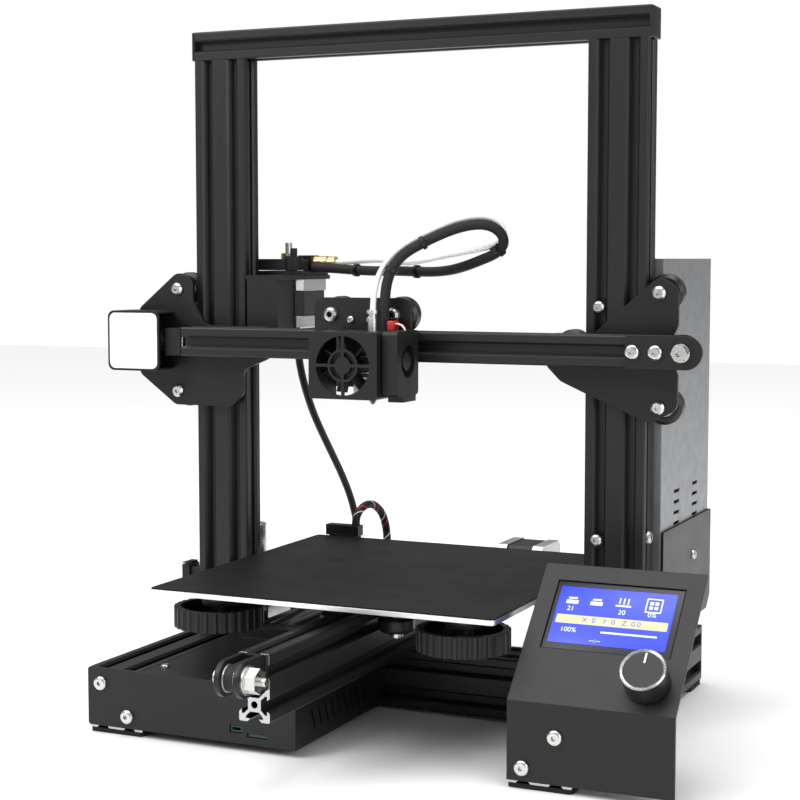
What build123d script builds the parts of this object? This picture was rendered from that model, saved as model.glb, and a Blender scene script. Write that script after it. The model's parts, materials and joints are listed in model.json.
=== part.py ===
from build123d import *
import math
import os

# Open-frame filament printer, fully assembled. Millimetres, +Z up, front of the machine towards -Y.
# Everything is laid out about the frame's own zero: X = 0 midway between the uprights, Y = 0 at the
# uprights' front face, Z = 0 on the table. export() then moves it so that the origin is at the
# centre of the footprint's box.

# ---- driving dimensions ----
CELL = 20.0                 # side of one cell of the slotted profile
FOOT = 3.0                  # height of the rubber feet
FRAME_W = 330.0             # outside width over the uprights and over the side rails
RAIL_Y0, RAIL_Y1 = -137.5, 150.5
UPRIGHT_H = 402.0
YRAIL_Y0, YRAIL_Y1 = -213.5, 140.0
SHEET = 2.0                 # folded sheet covers
PLATE = 3.0                 # gantry and carriage plates

RAIL_TOP = FOOT + 2 * CELL
YRAIL_TOP = RAIL_TOP + 2 * CELL
UPRIGHT_TOP = RAIL_TOP + UPRIGHT_H
RAIL_X = FRAME_W / 2 - CELL
RAIL_IN = FRAME_W / 2 - 2 * CELL

BEAM_Z = 249.0              # centre height of the X beam as posed
BEAM_X0, BEAM_X1 = -161.0, 188.0
PLATE_FRONT = -8.0          # front face of the gantry plates
BEAM_Y = PLATE_FRONT - CELL / 2

WHEEL_R = 11.95             # V wheel
WHEEL_W = 10.2
WHEEL_TIP_W = 5.9
WHEEL_GAP = 10.75           # profile face to wheel axis
AXLE_R = 2.5
WHEEL_BORE_R = 2.55

BED_SIZE = 235.0
BED_Y = -22.5               # bed centre as posed
BED_TOP = 98.5
SURFACE_T = 1.0
BED_T = 3.0
CARRIAGE_Z = 85.0           # underside of the bed carriage plate
KNOB_X, KNOB_Y = 85.0, 85.0
KNOB_R, KNOB_H = 29.0, 13.0
BED_WHEEL_Y = 42.0

HEAD_X = -18.0              # centre of the print head's carriage plate as posed
HEAD_PLATE_Y = -31.0        # its back face
HEAD_WHEEL_X = 22.5
NOZZLE_X, NOZZLE_Y, NOZZLE_Z = -4.0, -47.0, 212.0

MOTOR_W = 42.3
MOTOR_SHAFT_R = 2.5

LCD_X0, LCD_X1 = 125.5, 225.5
LCD_FRONT = RAIL_Y0 - SHEET
LCD_BEND_Z = 52.3
LCD_RISE, LCD_RUN = 69.0, 68.2
LCD_LEN = math.hypot(LCD_RISE, LCD_RUN)
LCD_TILT = math.degrees(math.atan2(LCD_RUN, LCD_RISE))

COVER_X0 = -220.0           # left side of the X motor and its cover
TENSION_FRONT = -246.0      # front of the Y belt tensioner
Y_MOTOR_Y = 152.0
Y_MOTOR_BACK = Y_MOTOR_Y + MOTOR_W / 2

ORIGIN_X = (COVER_X0 + LCD_X1) / 2
ORIGIN_Y = (TENSION_FRONT + Y_MOTOR_BACK) / 2

os.makedirs("parts", exist_ok=True)


# ---- helpers ----
def export(shapes, node):
    solids = []
    for shape in shapes if isinstance(shapes, list) else [shapes]:
        moved = Pos(-ORIGIN_X, -ORIGIN_Y, 0) * shape
        solids += list(moved.solids())
    export_step(Compound(children=solids), f"parts/{node}.step")


def block(x0, x1, y0, y1, z0, z1):
    return Pos((x0 + x1) / 2, (y0 + y1) / 2, (z0 + z1) / 2) * Box(x1 - x0, y1 - y0, z1 - z0)


AXIS_TURN = {"+X": (0, 90, 0), "-X": (0, -90, 0), "+Y": (-90, 0, 0), "-Y": (90, 0, 0),
             "+Z": (0, 0, 0), "-Z": (180, 0, 0)}


def along(axis, x, y, z):
    return Location((x, y, z), AXIS_TURN[axis])


def rod(axis, x, y, z, r, length):
    solid = Cylinder(r, length, align=(Align.CENTER, Align.CENTER, Align.MIN))
    return along(axis, x, y, z) * solid


def outline(points, corner_r=0.0):
    face = make_face(Polyline(*points, close=True))
    if corner_r > 0:
        face = fillet(face.vertices(), corner_r)
    return face


def plate_xz(points, y_back, thickness, corner_r=0.0):
    return extrude(Plane.XZ.offset(-y_back) * outline(points, corner_r), thickness)


def turned(profile_points, axis, x, y, z):
    # Solid of revolution: profile points are (radius, height along the axis).
    face = make_face(Polyline(*[(r, 0, h) for r, h in profile_points], close=True))
    return along(axis, x, y, z) * revolve(face, Axis.Z)


def tube_along(points, r, name):
    # Cord solid: straight runs joined by the largest tangent arcs that the runs allow.
    vectors = [Vector(*p) for p in points]
    radii = []
    for a, b, c in zip(vectors, vectors[1:], vectors[2:]):
        turn = math.radians((b - a).get_angle(c - b))
        shorter = min((b - a).length, (c - b).length)
        radii.append(0.45 * shorter / math.tan(turn / 2))
    path = FilletPolyline(*points, radius=radii)
    start = Plane(origin=points[0], z_dir=vectors[1] - vectors[0])
    solid = sweep(start * Circle(r), path=path)
    ratio = solid.volume / (math.pi * r * r * path.length)
    print(name, "length", round(path.length, 1), "radii", [round(v) for v in radii], "volume", round(ratio, 3))
    return solid


# ---- slotted profile ----
SLOT = [(-4.6, 10.1), (-3.1, 8.4), (-3.1, 8.2), (-5.5, 8.2), (-5.5, 6.9), (-2.9, 4.2),
        (2.9, 4.2), (5.5, 6.9), (5.5, 8.2), (3.1, 8.2), (3.1, 8.4), (4.6, 10.1)]
HOLLOW = [(-2.9, -5.8), (2.9, -5.8), (8.2, -0.5), (8.2, 0.5), (2.9, 5.8), (-2.9, 5.8), (-8.2, 0.5),
          (-8.2, -0.5)]
BORE_R = 2.1
PROFILE_CORNER_R = 1.2


def profile_section(columns, rows):
    # Cross-section of a columns x rows slotted profile, centred on its own middle.
    width, height = columns * CELL, rows * CELL
    section = fillet(Rectangle(width, height).vertices(), PROFILE_CORNER_R)
    slot = outline(SLOT)
    hollow = outline(HOLLOW)
    for i in range(columns):
        cx = (i - (columns - 1) / 2) * CELL
        section -= Pos(cx, height / 2 - CELL / 2) * slot
        section -= Pos(cx, CELL / 2 - height / 2) * Rot(0, 0, 180) * slot
        for j in range(rows):
            cy = (j - (rows - 1) / 2) * CELL
            section -= Pos(cx, cy) * Circle(BORE_R)
            if j + 1 < rows:
                section -= Pos(cx, cy + CELL / 2) * hollow
            if i + 1 < columns:
                section -= Pos(cx + CELL / 2, cy) * Rot(0, 0, 90) * hollow
    for j in range(rows):
        cy = (j - (rows - 1) / 2) * CELL
        section -= Pos(width / 2 - CELL / 2, cy) * Rot(0, 0, -90) * slot
        section -= Pos(CELL / 2 - width / 2, cy) * Rot(0, 0, 90) * slot
    return section


def profile(plane, columns, rows, length):
    return extrude(plane * profile_section(columns, rows), length)


# ---- fasteners, wheels and motors ----
HEAD_R, HEAD_H = 4.7, 2.7
SLOT_HEAD_R = 2.9           # head that sits inside a profile's slot
SHANK_R = 2.0


def button_screw(axis, x, y, z, shank):
    # Button head with a hexagon socket; the head points along the axis, the shank the other way.
    head = Cylinder(HEAD_R, HEAD_H, align=(Align.CENTER, Align.CENTER, Align.MIN))
    head = fillet(head.edges().group_by(Axis.Z)[-1], 1.8)
    head -= Pos(0, 0, HEAD_H - 1.6) * extrude(RegularPolygon(1.75, 6), 2)
    head += Pos(0, 0, -shank) * Cylinder(SHANK_R, shank, align=(Align.CENTER, Align.CENTER, Align.MIN))
    return along(axis, x, y, z) * head


def wheel(axis, x, y, z):
    # V wheel centred on its own middle: flat tread with 45 degree flanks, recessed bearing faces.
    half, tip = WHEEL_W / 2, WHEEL_TIP_W / 2
    flank_r = WHEEL_R - (half - tip)
    points = [(WHEEL_BORE_R, -half + 0.6), (4.2, -half + 0.6), (4.2, -half + 1.2), (7.6, -half + 1.2),
              (7.6, -half), (flank_r, -half), (WHEEL_R, -tip), (WHEEL_R, tip), (flank_r, half),
              (7.6, half), (7.6, half - 1.2), (4.2, half - 1.2), (4.2, half - 0.6),
              (WHEEL_BORE_R, half - 0.6)]
    return turned(points, axis, x, y, z)


def axle(axis, x, y, z, wheel_mid, head_r=HEAD_R):
    # Axle bolt along its axis from the head on the plate's outer face, with spacer and lock nut.
    # wheel_mid is the distance from the head's seat to the wheel; the plate is PLATE thick.
    near = wheel_mid - WHEEL_W / 2 + 0.5
    far = wheel_mid + WHEEL_W / 2 - 0.5
    points = [(0, -HEAD_H), (head_r - 1.6, -HEAD_H), (head_r - 0.3, -HEAD_H + 1.2), (head_r, 0),
              (AXLE_R, 0), (AXLE_R, PLATE), (4.0, PLATE), (4.0, near),
              (AXLE_R, near), (AXLE_R, far), (4.4, far), (4.4, far + 4), (AXLE_R, far + 4),
              (AXLE_R, far + 4.6), (0, far + 4.6)]
    socket = Pos(0, 0, -HEAD_H - 0.4) * extrude(RegularPolygon(1.75, 6), 2)
    return turned(points, axis, x, y, z) - along(axis, x, y, z) * socket


def motor(axis, x, y, z, length, shaft):
    # Square stepper motor: face at the given point, shaft along the axis, body behind it.
    section = chamfer(Rectangle(MOTOR_W, MOTOR_W).vertices(), 4.0)
    waist = chamfer(Rectangle(MOTOR_W - 1.2, MOTOR_W - 1.2).vertices(), 5.0)
    cap = 8.0
    body = Pos(0, 0, -cap) * extrude(section, cap)
    body += Pos(0, 0, -length + cap) * extrude(waist, length - 2 * cap)
    body += Pos(0, 0, -length) * extrude(section, cap)
    body += Cylinder(11.0, 2.0, align=(Align.CENTER, Align.CENTER, Align.MIN))
    if shaft > 0:
        body += Cylinder(MOTOR_SHAFT_R, shaft, align=(Align.CENTER, Align.CENTER, Align.MIN))
    return along(axis, x, y, z) * body


# ---- base frame ----
def side_rails():
    rails = []
    for side in (-1, 1):
        plane = Plane(origin=(side * RAIL_X, RAIL_Y1, FOOT + CELL), x_dir=(1, 0, 0), z_dir=(0, -1, 0))
        rails.append(profile(plane, 2, 2, RAIL_Y1 - RAIL_Y0))
    return rails


FOOT_L = 30.0


def rubber_feet():
    feet = []
    for side in (-1, 1):
        for y in (RAIL_Y0, RAIL_Y1 - FOOT_L):
            pad = block(side * RAIL_X - CELL, side * RAIL_X + CELL, y, y + FOOT_L, 0, FOOT)
            feet.append(fillet(pad.edges().filter_by(Axis.Z), 3.0))
    return feet


CROSS_Y0 = -10.0


def cross_beam():
    plane = Plane(origin=(-RAIL_IN, CROSS_Y0 + CELL, FOOT + CELL), x_dir=(0, 1, 0), z_dir=(1, 0, 0))
    return profile(plane, 2, 2, 2 * RAIL_IN)


def y_rail():
    plane = Plane(origin=(0, YRAIL_Y1, RAIL_TOP + CELL), x_dir=(1, 0, 0), z_dir=(0, -1, 0))
    return profile(plane, 1, 2, YRAIL_Y1 - YRAIL_Y0)


def uprights():
    posts = []
    for side in (-1, 1):
        plane = Plane(origin=(side * RAIL_X, CELL / 2, RAIL_TOP), x_dir=(1, 0, 0), z_dir=(0, 0, 1))
        posts.append(profile(plane, 2, 1, UPRIGHT_H))
    return posts


def top_bar():
    plane = Plane(origin=(-FRAME_W / 2, CELL / 2, UPRIGHT_TOP + CELL / 2), x_dir=(0, 1, 0), z_dir=(1, 0, 0))
    return profile(plane, 1, 1, FRAME_W)


# ---- control box ----
BOX_X0, BOX_X1 = -RAIL_IN, -13.0
BOX_BACK = CROSS_Y0 - 0.5
BOX_Z0 = 5.0
USB_X, USB_Z = -55.0, 14.0
CARD_X, CARD_Z = -40.0, 11.0
PORT_SCREWS = [(-RAIL_X - CELL / 2, RAIL_TOP - CELL / 2), (-RAIL_X + CELL / 2, FOOT + CELL / 2)]


def control_box():
    front = plate_xz([(-FRAME_W / 2, BOX_Z0), (BOX_X1, BOX_Z0), (BOX_X1, RAIL_TOP), (-FRAME_W / 2, RAIL_TOP)],
                     RAIL_Y0, SHEET, 2.0)
    case = block(BOX_X0 + 0.2, BOX_X1, RAIL_Y0 - SHEET / 2, BOX_BACK, BOX_Z0, RAIL_TOP)
    case -= block(BOX_X0 + 0.2 + SHEET, BOX_X1 - SHEET, RAIL_Y0, BOX_BACK - SHEET, BOX_Z0 + SHEET,
                  RAIL_TOP - SHEET)
    case += front
    for x, z in PORT_SCREWS:
        case -= rod("+Y", x, RAIL_Y0 - SHEET - 1, z, SHANK_R + 0.2, SHEET + 1)
    case += block(BOX_X0 + 8, -64, BOX_BACK - 12, BOX_BACK - 0.5, RAIL_TOP - 1, RAIL_TOP + 8)
    case -= block(USB_X - 4.5, USB_X + 4.5, RAIL_Y0 - SHEET - 1, RAIL_Y0 + 1, USB_Z - 2.5, USB_Z + 2.5)
    case -= block(CARD_X - 7, CARD_X + 7, RAIL_Y0 - SHEET - 1, RAIL_Y0 + 1, CARD_Z - 1.5, CARD_Z + 1.5)
    vent = block(-SHEET, SHEET, -1.2, 1.2, -7, 7)
    for i in range(9):
        case -= Pos(BOX_X1, RAIL_Y0 + 22 + i * 9, FOOT + 17) * Rot(20, 0, 0) * vent
    return case


def mainboard():
    board = block(BOX_X0 + 10, BOX_X1 - 8, RAIL_Y0 + 6, BOX_BACK - 20, BOX_Z0 + 4, BOX_Z0 + 5.6)
    usb = block(USB_X - 4, USB_X + 4, RAIL_Y0 - 1, RAIL_Y0 + 10, USB_Z - 2, USB_Z + 2)
    usb -= block(USB_X - 3, USB_X + 3, RAIL_Y0 - 2, RAIL_Y0 + 5, USB_Z - 1, USB_Z + 1)
    card = block(CARD_X - 6.5, CARD_X + 6.5, RAIL_Y0 - 1, RAIL_Y0 + 14, CARD_Z - 1, CARD_Z + 1)
    posts = block(USB_X - 3, USB_X + 3, RAIL_Y0 + 6, RAIL_Y0 + 10, BOX_Z0 + 5, USB_Z - 1)
    drivers = block(-90, -70, -100, -60, BOX_Z0 + 5, BOX_Z0 + 18)
    return board + usb + card + posts + drivers


# ---- screen ----
LCD_T = SHEET


def on_panel(shape, x, s, lift):
    # Put a shape that is modelled flat (Z up) on the leaning panel: s runs up the panel from the bend.
    c, n = LCD_RUN / LCD_LEN, LCD_RISE / LCD_LEN
    y = LCD_FRONT + s * c - lift * n
    z = LCD_BEND_Z + s * n + lift * c
    return Location((x, y, z), (90 - LCD_TILT, 0, 0)) * shape


WINDOW_X = (136.0, 215.0)
WINDOW_S = (37.0, 85.5)
KNOB_AT = (205.5, 19.8)
KNOB_SHAFT_R = 3.0


def lcd_bracket():
    c, n = LCD_RUN / LCD_LEN, LCD_RISE / LCD_LEN
    inner_z = LCD_BEND_Z - LCD_T * math.tan(math.radians(LCD_TILT / 2))
    top = (LCD_FRONT + LCD_RUN, LCD_BEND_Z + LCD_RISE)
    points = [(LCD_FRONT, FOOT + 2), (LCD_FRONT, LCD_BEND_Z), top, (top[0] + LCD_T * n, top[1] - LCD_T * c),
              (LCD_FRONT + LCD_T, inner_z), (LCD_FRONT + LCD_T, FOOT + 2)]
    sheet = extrude(Plane.YZ.offset(LCD_X0) * outline(points), LCD_X1 - LCD_X0)
    window = Box(WINDOW_X[1] - WINDOW_X[0], WINDOW_S[1] - WINDOW_S[0], 12)
    sheet -= on_panel(window, sum(WINDOW_X) / 2, sum(WINDOW_S) / 2, 0)
    sheet -= on_panel(Cylinder(KNOB_SHAFT_R + 1, 12), KNOB_AT[0], KNOB_AT[1], 0)
    for x, z in ((RAIL_X - CELL / 2, FOOT + CELL / 2), (RAIL_X + CELL / 2, RAIL_TOP - CELL / 2)):
        sheet -= rod("+Y", x, LCD_FRONT - 1, z, SHANK_R + 0.2, LCD_T + 2)
    return sheet


def lcd_screen():
    # Display module behind the window: circuit board, metal frame and glass as one block with a step.
    width, height = WINDOW_X[1] - WINDOW_X[0], WINDOW_S[1] - WINDOW_S[0]
    middle = (sum(WINDOW_X) / 2, sum(WINDOW_S) / 2)
    glass = on_panel(Box(width - 1, height - 1, 4), middle[0], middle[1], -2.8)
    board = on_panel(Box(92, 88, 1.6), (LCD_X0 + LCD_X1) / 2, 46, -5.5)
    encoder = on_panel(Box(12, 12, 2.5), KNOB_AT[0], KNOB_AT[1], -3.45)
    bore = on_panel(Cylinder(KNOB_SHAFT_R + 0.05, 20), KNOB_AT[0], KNOB_AT[1], 0)
    return glass + board + encoder - bore


def lcd_knob():
    grip = Cylinder(13.4, 14.0, align=(Align.CENTER, Align.CENTER, Align.MIN))
    grip = chamfer(grip.edges().group_by(Axis.Z)[-1], 0.8)
    shaft = Pos(0, 0, -5) * Cylinder(KNOB_SHAFT_R, 7, align=(Align.CENTER, Align.CENTER, Align.MIN))
    return on_panel(grip + shaft, KNOB_AT[0], KNOB_AT[1], 1.0)


# ---- power supply ----
PSU_X0, PSU_X1 = 120.0, 170.0
PSU_Y0, PSU_Y1 = 22.0, 142.0
PSU_Z0, PSU_Z1 = 91.6, 306.6
PSU_COVER_Z0, PSU_COVER_Z1 = 59.0, 129.0
PSU_WALL = 1.5
ROCKER_Z = 76.0


def psu_case():
    case = block(PSU_X0, PSU_X1, PSU_Y0, PSU_Y1, PSU_Z0, PSU_Z1)
    case -= block(PSU_X0 + PSU_WALL, PSU_X1 - PSU_WALL, PSU_Y0 + PSU_WALL, PSU_Y1 - PSU_WALL,
                  PSU_Z0 + PSU_WALL, PSU_Z1 - PSU_WALL)
    vent = block(-PSU_WALL * 2, PSU_WALL * 2, -7, 7, -1.1, 1.1)
    for column_y in (60.0, 106.5):
        for row in range(4):
            case -= Pos(PSU_X1, column_y, 130.5 + row * 7.2) * vent
    return case


def psu_cover():
    wall = 2.0
    cover = block(PSU_X0 - wall, PSU_X1 + wall, PSU_Y0, PSU_Y1 + wall, PSU_COVER_Z0, PSU_COVER_Z1)
    cover = chamfer(cover.edges().filter_by(Axis.X).sort_by(Axis.Y)[-2:].sort_by(Axis.Z)[0], 9)
    cover -= block(PSU_X0, PSU_X1, PSU_Y0 - 1, PSU_Y1, PSU_Z0, PSU_COVER_Z1 + 1)
    cover -= block(PSU_X0 + 1, PSU_X1 - 1, PSU_Y0 + 1, PSU_Y1 - 12, PSU_COVER_Z0 + wall, PSU_Z0 + 1)
    cover -= block(PSU_X0 + 6, PSU_X0 + 33, PSU_Y1 - 13, PSU_Y1 + 3, ROCKER_Z - 9, ROCKER_Z + 9)
    inlet = block(PSU_X0 + 6.2, PSU_X0 + 18, PSU_Y1 - 12, PSU_Y1 + 2, ROCKER_Z - 8.8, ROCKER_Z + 8.8)
    inlet -= block(PSU_X0 + 8, PSU_X0 + 16, PSU_Y1 - 6, PSU_Y1 + 4, ROCKER_Z - 6.5, ROCKER_Z + 6.5)
    return [cover + block(PSU_X0 + 6, PSU_X0 + 33, PSU_Y1 - 13, PSU_Y1 - 11, ROCKER_Z - 9, ROCKER_Z + 9)
            + inlet]


ROCKER_X = PSU_X0 + 26.0
ROCKER_Y = PSU_Y1 - 3.0


def power_rocker():
    body = rod("+X", ROCKER_X - 5, ROCKER_Y, ROCKER_Z, 7.0, 10)
    body &= block(ROCKER_X - 5, ROCKER_X + 5, ROCKER_Y - 4, ROCKER_Y + 8, ROCKER_Z - 8, ROCKER_Z + 8)
    return body


# ---- drives on the frame ----
SCREW_X, SCREW_Y = -RAIL_X, 45.0
Z_MOTOR_TOP = 83.5
LEAD_R = 4.0
COUPLER_R = 9.5


def z_motor():
    body = motor("+Z", SCREW_X, SCREW_Y, Z_MOTOR_TOP, Z_MOTOR_TOP - RAIL_TOP - 3.2, 20)
    seat = block(SCREW_X - 22, SCREW_X + 22, SCREW_Y - 23, SCREW_Y + 22, Z_MOTOR_TOP, Z_MOTOR_TOP + 3)
    seat += block(SCREW_X - 22, SCREW_X + 22, CELL + 0.1, CELL + 2.9, Z_MOTOR_TOP - 30, Z_MOTOR_TOP + 3)
    seat -= rod("+Z", SCREW_X, SCREW_Y, Z_MOTOR_TOP - 1, 12.0, 5)
    return [body, seat]


def lead_screw():
    coupler = rod("+Z", SCREW_X, SCREW_Y, Z_MOTOR_TOP + 4, COUPLER_R, 25)
    coupler -= rod("+Z", SCREW_X, SCREW_Y, Z_MOTOR_TOP + 3, MOTOR_SHAFT_R + 0.05, 17)
    coupler = chamfer(coupler.edges().filter_by(GeomType.CIRCLE).group_by(Axis.Z)[-1], 0.8)
    screw = rod("+Z", SCREW_X, SCREW_Y, Z_MOTOR_TOP + 20.5, LEAD_R, UPRIGHT_TOP - 5 - Z_MOTOR_TOP - 20.5)
    return coupler + screw


IDLER_X = 0.0
TENSION_AXIS_Y = TENSION_FRONT + 10.4
TENSION_AXIS_Z = YRAIL_TOP - CELL / 2
CHEEK_IN, CHEEK_T = 4.6, 3.0
IDLER_R = 6.0


def y_tensioner():
    pieces = []
    for side in (-1, 1):
        x0 = side * CHEEK_IN
        x1 = side * (CHEEK_IN + CHEEK_T)
        low, high = min(x0, x1), max(x0, x1)
        cheek = block(low, high, TENSION_AXIS_Y, YRAIL_Y0 - 3, TENSION_AXIS_Z - 10.4, TENSION_AXIS_Z + 10.4)
        cheek += rod("+X", low, TENSION_AXIS_Y, TENSION_AXIS_Z, 10.4, high - low)
        pieces.append(cheek)
    web = block(-9, 9, YRAIL_Y0 - 3, YRAIL_Y0, TENSION_AXIS_Z - 10.4, TENSION_AXIS_Z + 9.8)
    bracket = pieces[0] + pieces[1] + web
    return bracket - rod("+X", -20, TENSION_AXIS_Y, TENSION_AXIS_Z, 2.6, 40)


def y_tensioner_bolt():
    bolt = rod("+X", -CHEEK_IN - CHEEK_T, TENSION_AXIS_Y, TENSION_AXIS_Z, AXLE_R, 28)
    bolt += Location((-CHEEK_IN - CHEEK_T, TENSION_AXIS_Y, TENSION_AXIS_Z), (0, -90, 0)) * Cylinder(
        4.6, 4, align=(Align.CENTER, Align.CENTER, Align.MIN))
    bolt += rod("+X", CHEEK_IN + CHEEK_T, TENSION_AXIS_Y, TENSION_AXIS_Z, 8.4, 1.6)
    nut = extrude(RegularPolygon(6.5, 6, major_radius=False), 7)
    bolt += Location((CHEEK_IN + CHEEK_T + 1.6, TENSION_AXIS_Y, TENSION_AXIS_Z), (0, 90, 0)) * nut
    return bolt


def y_idler():
    half = CHEEK_IN - 0.5
    points = [(WHEEL_BORE_R, -half), (8, -half), (8, -half + 1), (IDLER_R, -half + 1), (IDLER_R, half - 1),
              (8, half - 1), (8, half), (WHEEL_BORE_R, half)]
    return turned(points, "+X", IDLER_X, TENSION_AXIS_Y, TENSION_AXIS_Z)


def y_motor():
    face_x = 10.0 + PLATE
    body = motor("-X", face_x, Y_MOTOR_Y, TENSION_AXIS_Z, 36, 22)
    pulley = [(MOTOR_SHAFT_R, 4), (8, 4), (8, 5), (IDLER_R, 5), (IDLER_R, 12), (8, 12), (8, 13), (5, 13),
              (5, 18), (MOTOR_SHAFT_R, 18)]
    gear = turned(pulley, "-X", face_x, Y_MOTOR_Y, TENSION_AXIS_Z)
    plate = block(10, face_x, YRAIL_Y1 - 20, Y_MOTOR_BACK, TENSION_AXIS_Z - 21, TENSION_AXIS_Z + 10)
    plate -= rod("+X", 9, Y_MOTOR_Y, TENSION_AXIS_Z, 11.2, 5)
    return [body, gear, plate]


def z_switch():
    body = block(-181, -175, 3, 17, 72, 85.8)
    arm = block(-175, -165, 5, 15, 68, 84)
    lever = block(-180.5, -175.5, 2, 16, 87, 87.5) + block(-180.5, -175.5, 15.2, 15.8, 85.8, 87.5)
    return [body + arm, lever]


# ---- bed ----
def bed_plate():
    half = BED_SIZE / 2
    plate = block(-half, half, BED_Y - half, BED_Y + half, BED_TOP - SURFACE_T - BED_T, BED_TOP - SURFACE_T)
    plate = fillet(plate.edges().filter_by(Axis.Z), 3.0)
    for x, y in bed_corners():
        plate -= rod("+Z", x, y, BED_TOP - 10, SHANK_R + 0.2, 12)
    return plate


def build_surface():
    half = BED_SIZE / 2 - 0.5
    sheet = block(-half, half, BED_Y - half, BED_Y + half, BED_TOP - SURFACE_T, BED_TOP)
    return fillet(sheet.edges().filter_by(Axis.Z), 3.0)


def bed_corners():
    return [(sx * KNOB_X, BED_Y + sy * KNOB_Y) for sx in (-1, 1) for sy in (-1, 1)]


def bed_carriage():
    # Middle plate with four arms out to the levelling screws, and the cable clamp at the back left.
    top = CARRIAGE_Z + PLATE
    plate = block(-62, 62, BED_Y - 56, BED_Y + 56, CARRIAGE_Z, top)
    for sx in (-1, 1):
        for sy in (-1, 1):
            arm = Box(50, 22, PLATE)
            angle = math.degrees(math.atan2(sy * (KNOB_Y - 50), sx * (KNOB_X - 58)))
            middle = (sx * (KNOB_X + 58) / 2, BED_Y + sy * (KNOB_Y + 50) / 2, (CARRIAGE_Z + top) / 2)
            plate += Pos(*middle) * Rot(0, 0, angle) * arm
            plate += rod("+Z", sx * KNOB_X, BED_Y + sy * KNOB_Y, CARRIAGE_Z, 11, PLATE)
    for x, y in bed_corners():
        plate -= rod("+Z", x, y, CARRIAGE_Z - 1, SHANK_R + 0.2, 6)
    for x, y in bed_wheel_places():
        plate -= rod("+Z", x, y, CARRIAGE_Z - 1, AXLE_R + 0.1, 6)
    plate -= block(-30, -12, BED_Y - 20, BED_Y + 20, CARRIAGE_Z - 1, top + 1)
    plate -= block(12, 30, BED_Y - 20, BED_Y + 20, CARRIAGE_Z - 1, top + 1)
    back = BED_Y + BED_SIZE / 2
    clamp = block(-111, -84, back + 0.4, back + 9, BED_TOP + 0.2, BED_TOP + 8)
    clamp += block(-108, -87, back, back + 4, BED_TOP - 4, BED_TOP + 1)
    return [plate, clamp]


def bed_wheel_places():
    offset = CELL / 2 + WHEEL_GAP
    return [(sx * offset, BED_Y + sy * BED_WHEEL_Y) for sx in (-1, 1) for sy in (-1, 1)]


def bed_screws():
    pieces = []
    top = CARRIAGE_Z + PLATE
    for x, y in bed_corners():
        pieces.append(rod("+Z", x, y, CARRIAGE_Z - 11, SHANK_R, BED_TOP - SURFACE_T - CARRIAGE_Z + 11))
        spring = rod("+Z", x, y, top, 4.6, BED_TOP - SURFACE_T - BED_T - top)
        pieces.append(spring - rod("+Z", x, y, top - 1, 3.4, 12))
    for x, y in bed_wheel_places():
        pieces.append(axle("-Z", x, y, top, top - (YRAIL_TOP - CELL / 2)))
    return pieces


def bed_wheels():
    z = YRAIL_TOP - CELL / 2
    return [wheel("+Z", x, y, z) for x, y in bed_wheel_places()]


def bed_knob(x, y):
    # Dished thumb wheel with a scalloped rim, under its corner of the carriage.
    top = CARRIAGE_Z - 0.6
    rim = rod("+Z", x, y, top - KNOB_H, KNOB_R, KNOB_H)
    rim -= rod("+Z", x, y, top - KNOB_H + 4, KNOB_R - 4.5, KNOB_H)
    rim += rod("+Z", x, y, top - KNOB_H, 6, KNOB_H)
    count = 30
    for i in range(count):
        a = 2 * math.pi * i / count
        rim -= rod("+Z", x + (KNOB_R + 0.7) * math.cos(a), y + (KNOB_R + 0.7) * math.sin(a), top - KNOB_H - 1,
                   2.0, KNOB_H + 2)
    return rim - rod("+Z", x, y, top - KNOB_H - 1, SHANK_R + 0.05, KNOB_H + 2)


# ---- gantry ----
GANTRY_WHEEL_X = FRAME_W / 2 + WHEEL_GAP
INNER_WHEEL_X = RAIL_IN - WHEEL_GAP
WHEEL_RISE = 36.0
PLATE_BACK = PLATE_FRONT + PLATE


def x_beam():
    plane = Plane(origin=(BEAM_X0, BEAM_Y, BEAM_Z), x_dir=(0, 1, 0), z_dir=(1, 0, 0))
    return profile(plane, 1, 1, BEAM_X1 - BEAM_X0)


def gantry_wheel_places():
    places = {}
    for name, side in (("left", -1), ("right", 1)):
        places[f"{name}_upper"] = (side * GANTRY_WHEEL_X, BEAM_Z + WHEEL_RISE)
        places[f"{name}_lower"] = (side * GANTRY_WHEEL_X, BEAM_Z - WHEEL_RISE)
        places[f"{name}_inner"] = (side * INNER_WHEEL_X, BEAM_Z)
    return places


def gantry_plates():
    left = [(-208, 225), (-178, 203), (-132, 203), (-123, 212), (-123, 229), (-101, 238), (-101, 259),
            (-153, 260), (-163, 277), (-163, 293), (-176, 297), (-208, 271)]
    right = [(101, 238), (111, 228), (127, 221), (170, 203), (188, 212), (188, 234), (185, 240),
             (185, 258), (188, 264), (188, 288), (176, 296), (133, 259), (101, 259)]
    pieces = []
    for points, tall in ((left, -1), (right, 1)):
        plate = plate_xz(points, PLATE_BACK, PLATE, 7.0)
        for name, (x, z) in gantry_wheel_places().items():
            if x * tall > 0:
                plate -= rod("+Y", x, PLATE_FRONT - 1, z, AXLE_R + 0.1, PLATE + 2)
        pieces.append(plate)
    pieces[0] -= rod("+Y", X_MOTOR_X, PLATE_FRONT - 1, BEAM_Z, 11.3, PLATE + 2)
    pieces.append(extruder_bracket())
    return pieces


BRACKET_X = -100.0
EXTRUDER_X, EXTRUDER_Y = -113.0, 42.0
EXTRUDER_TOP = 292.0


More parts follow.
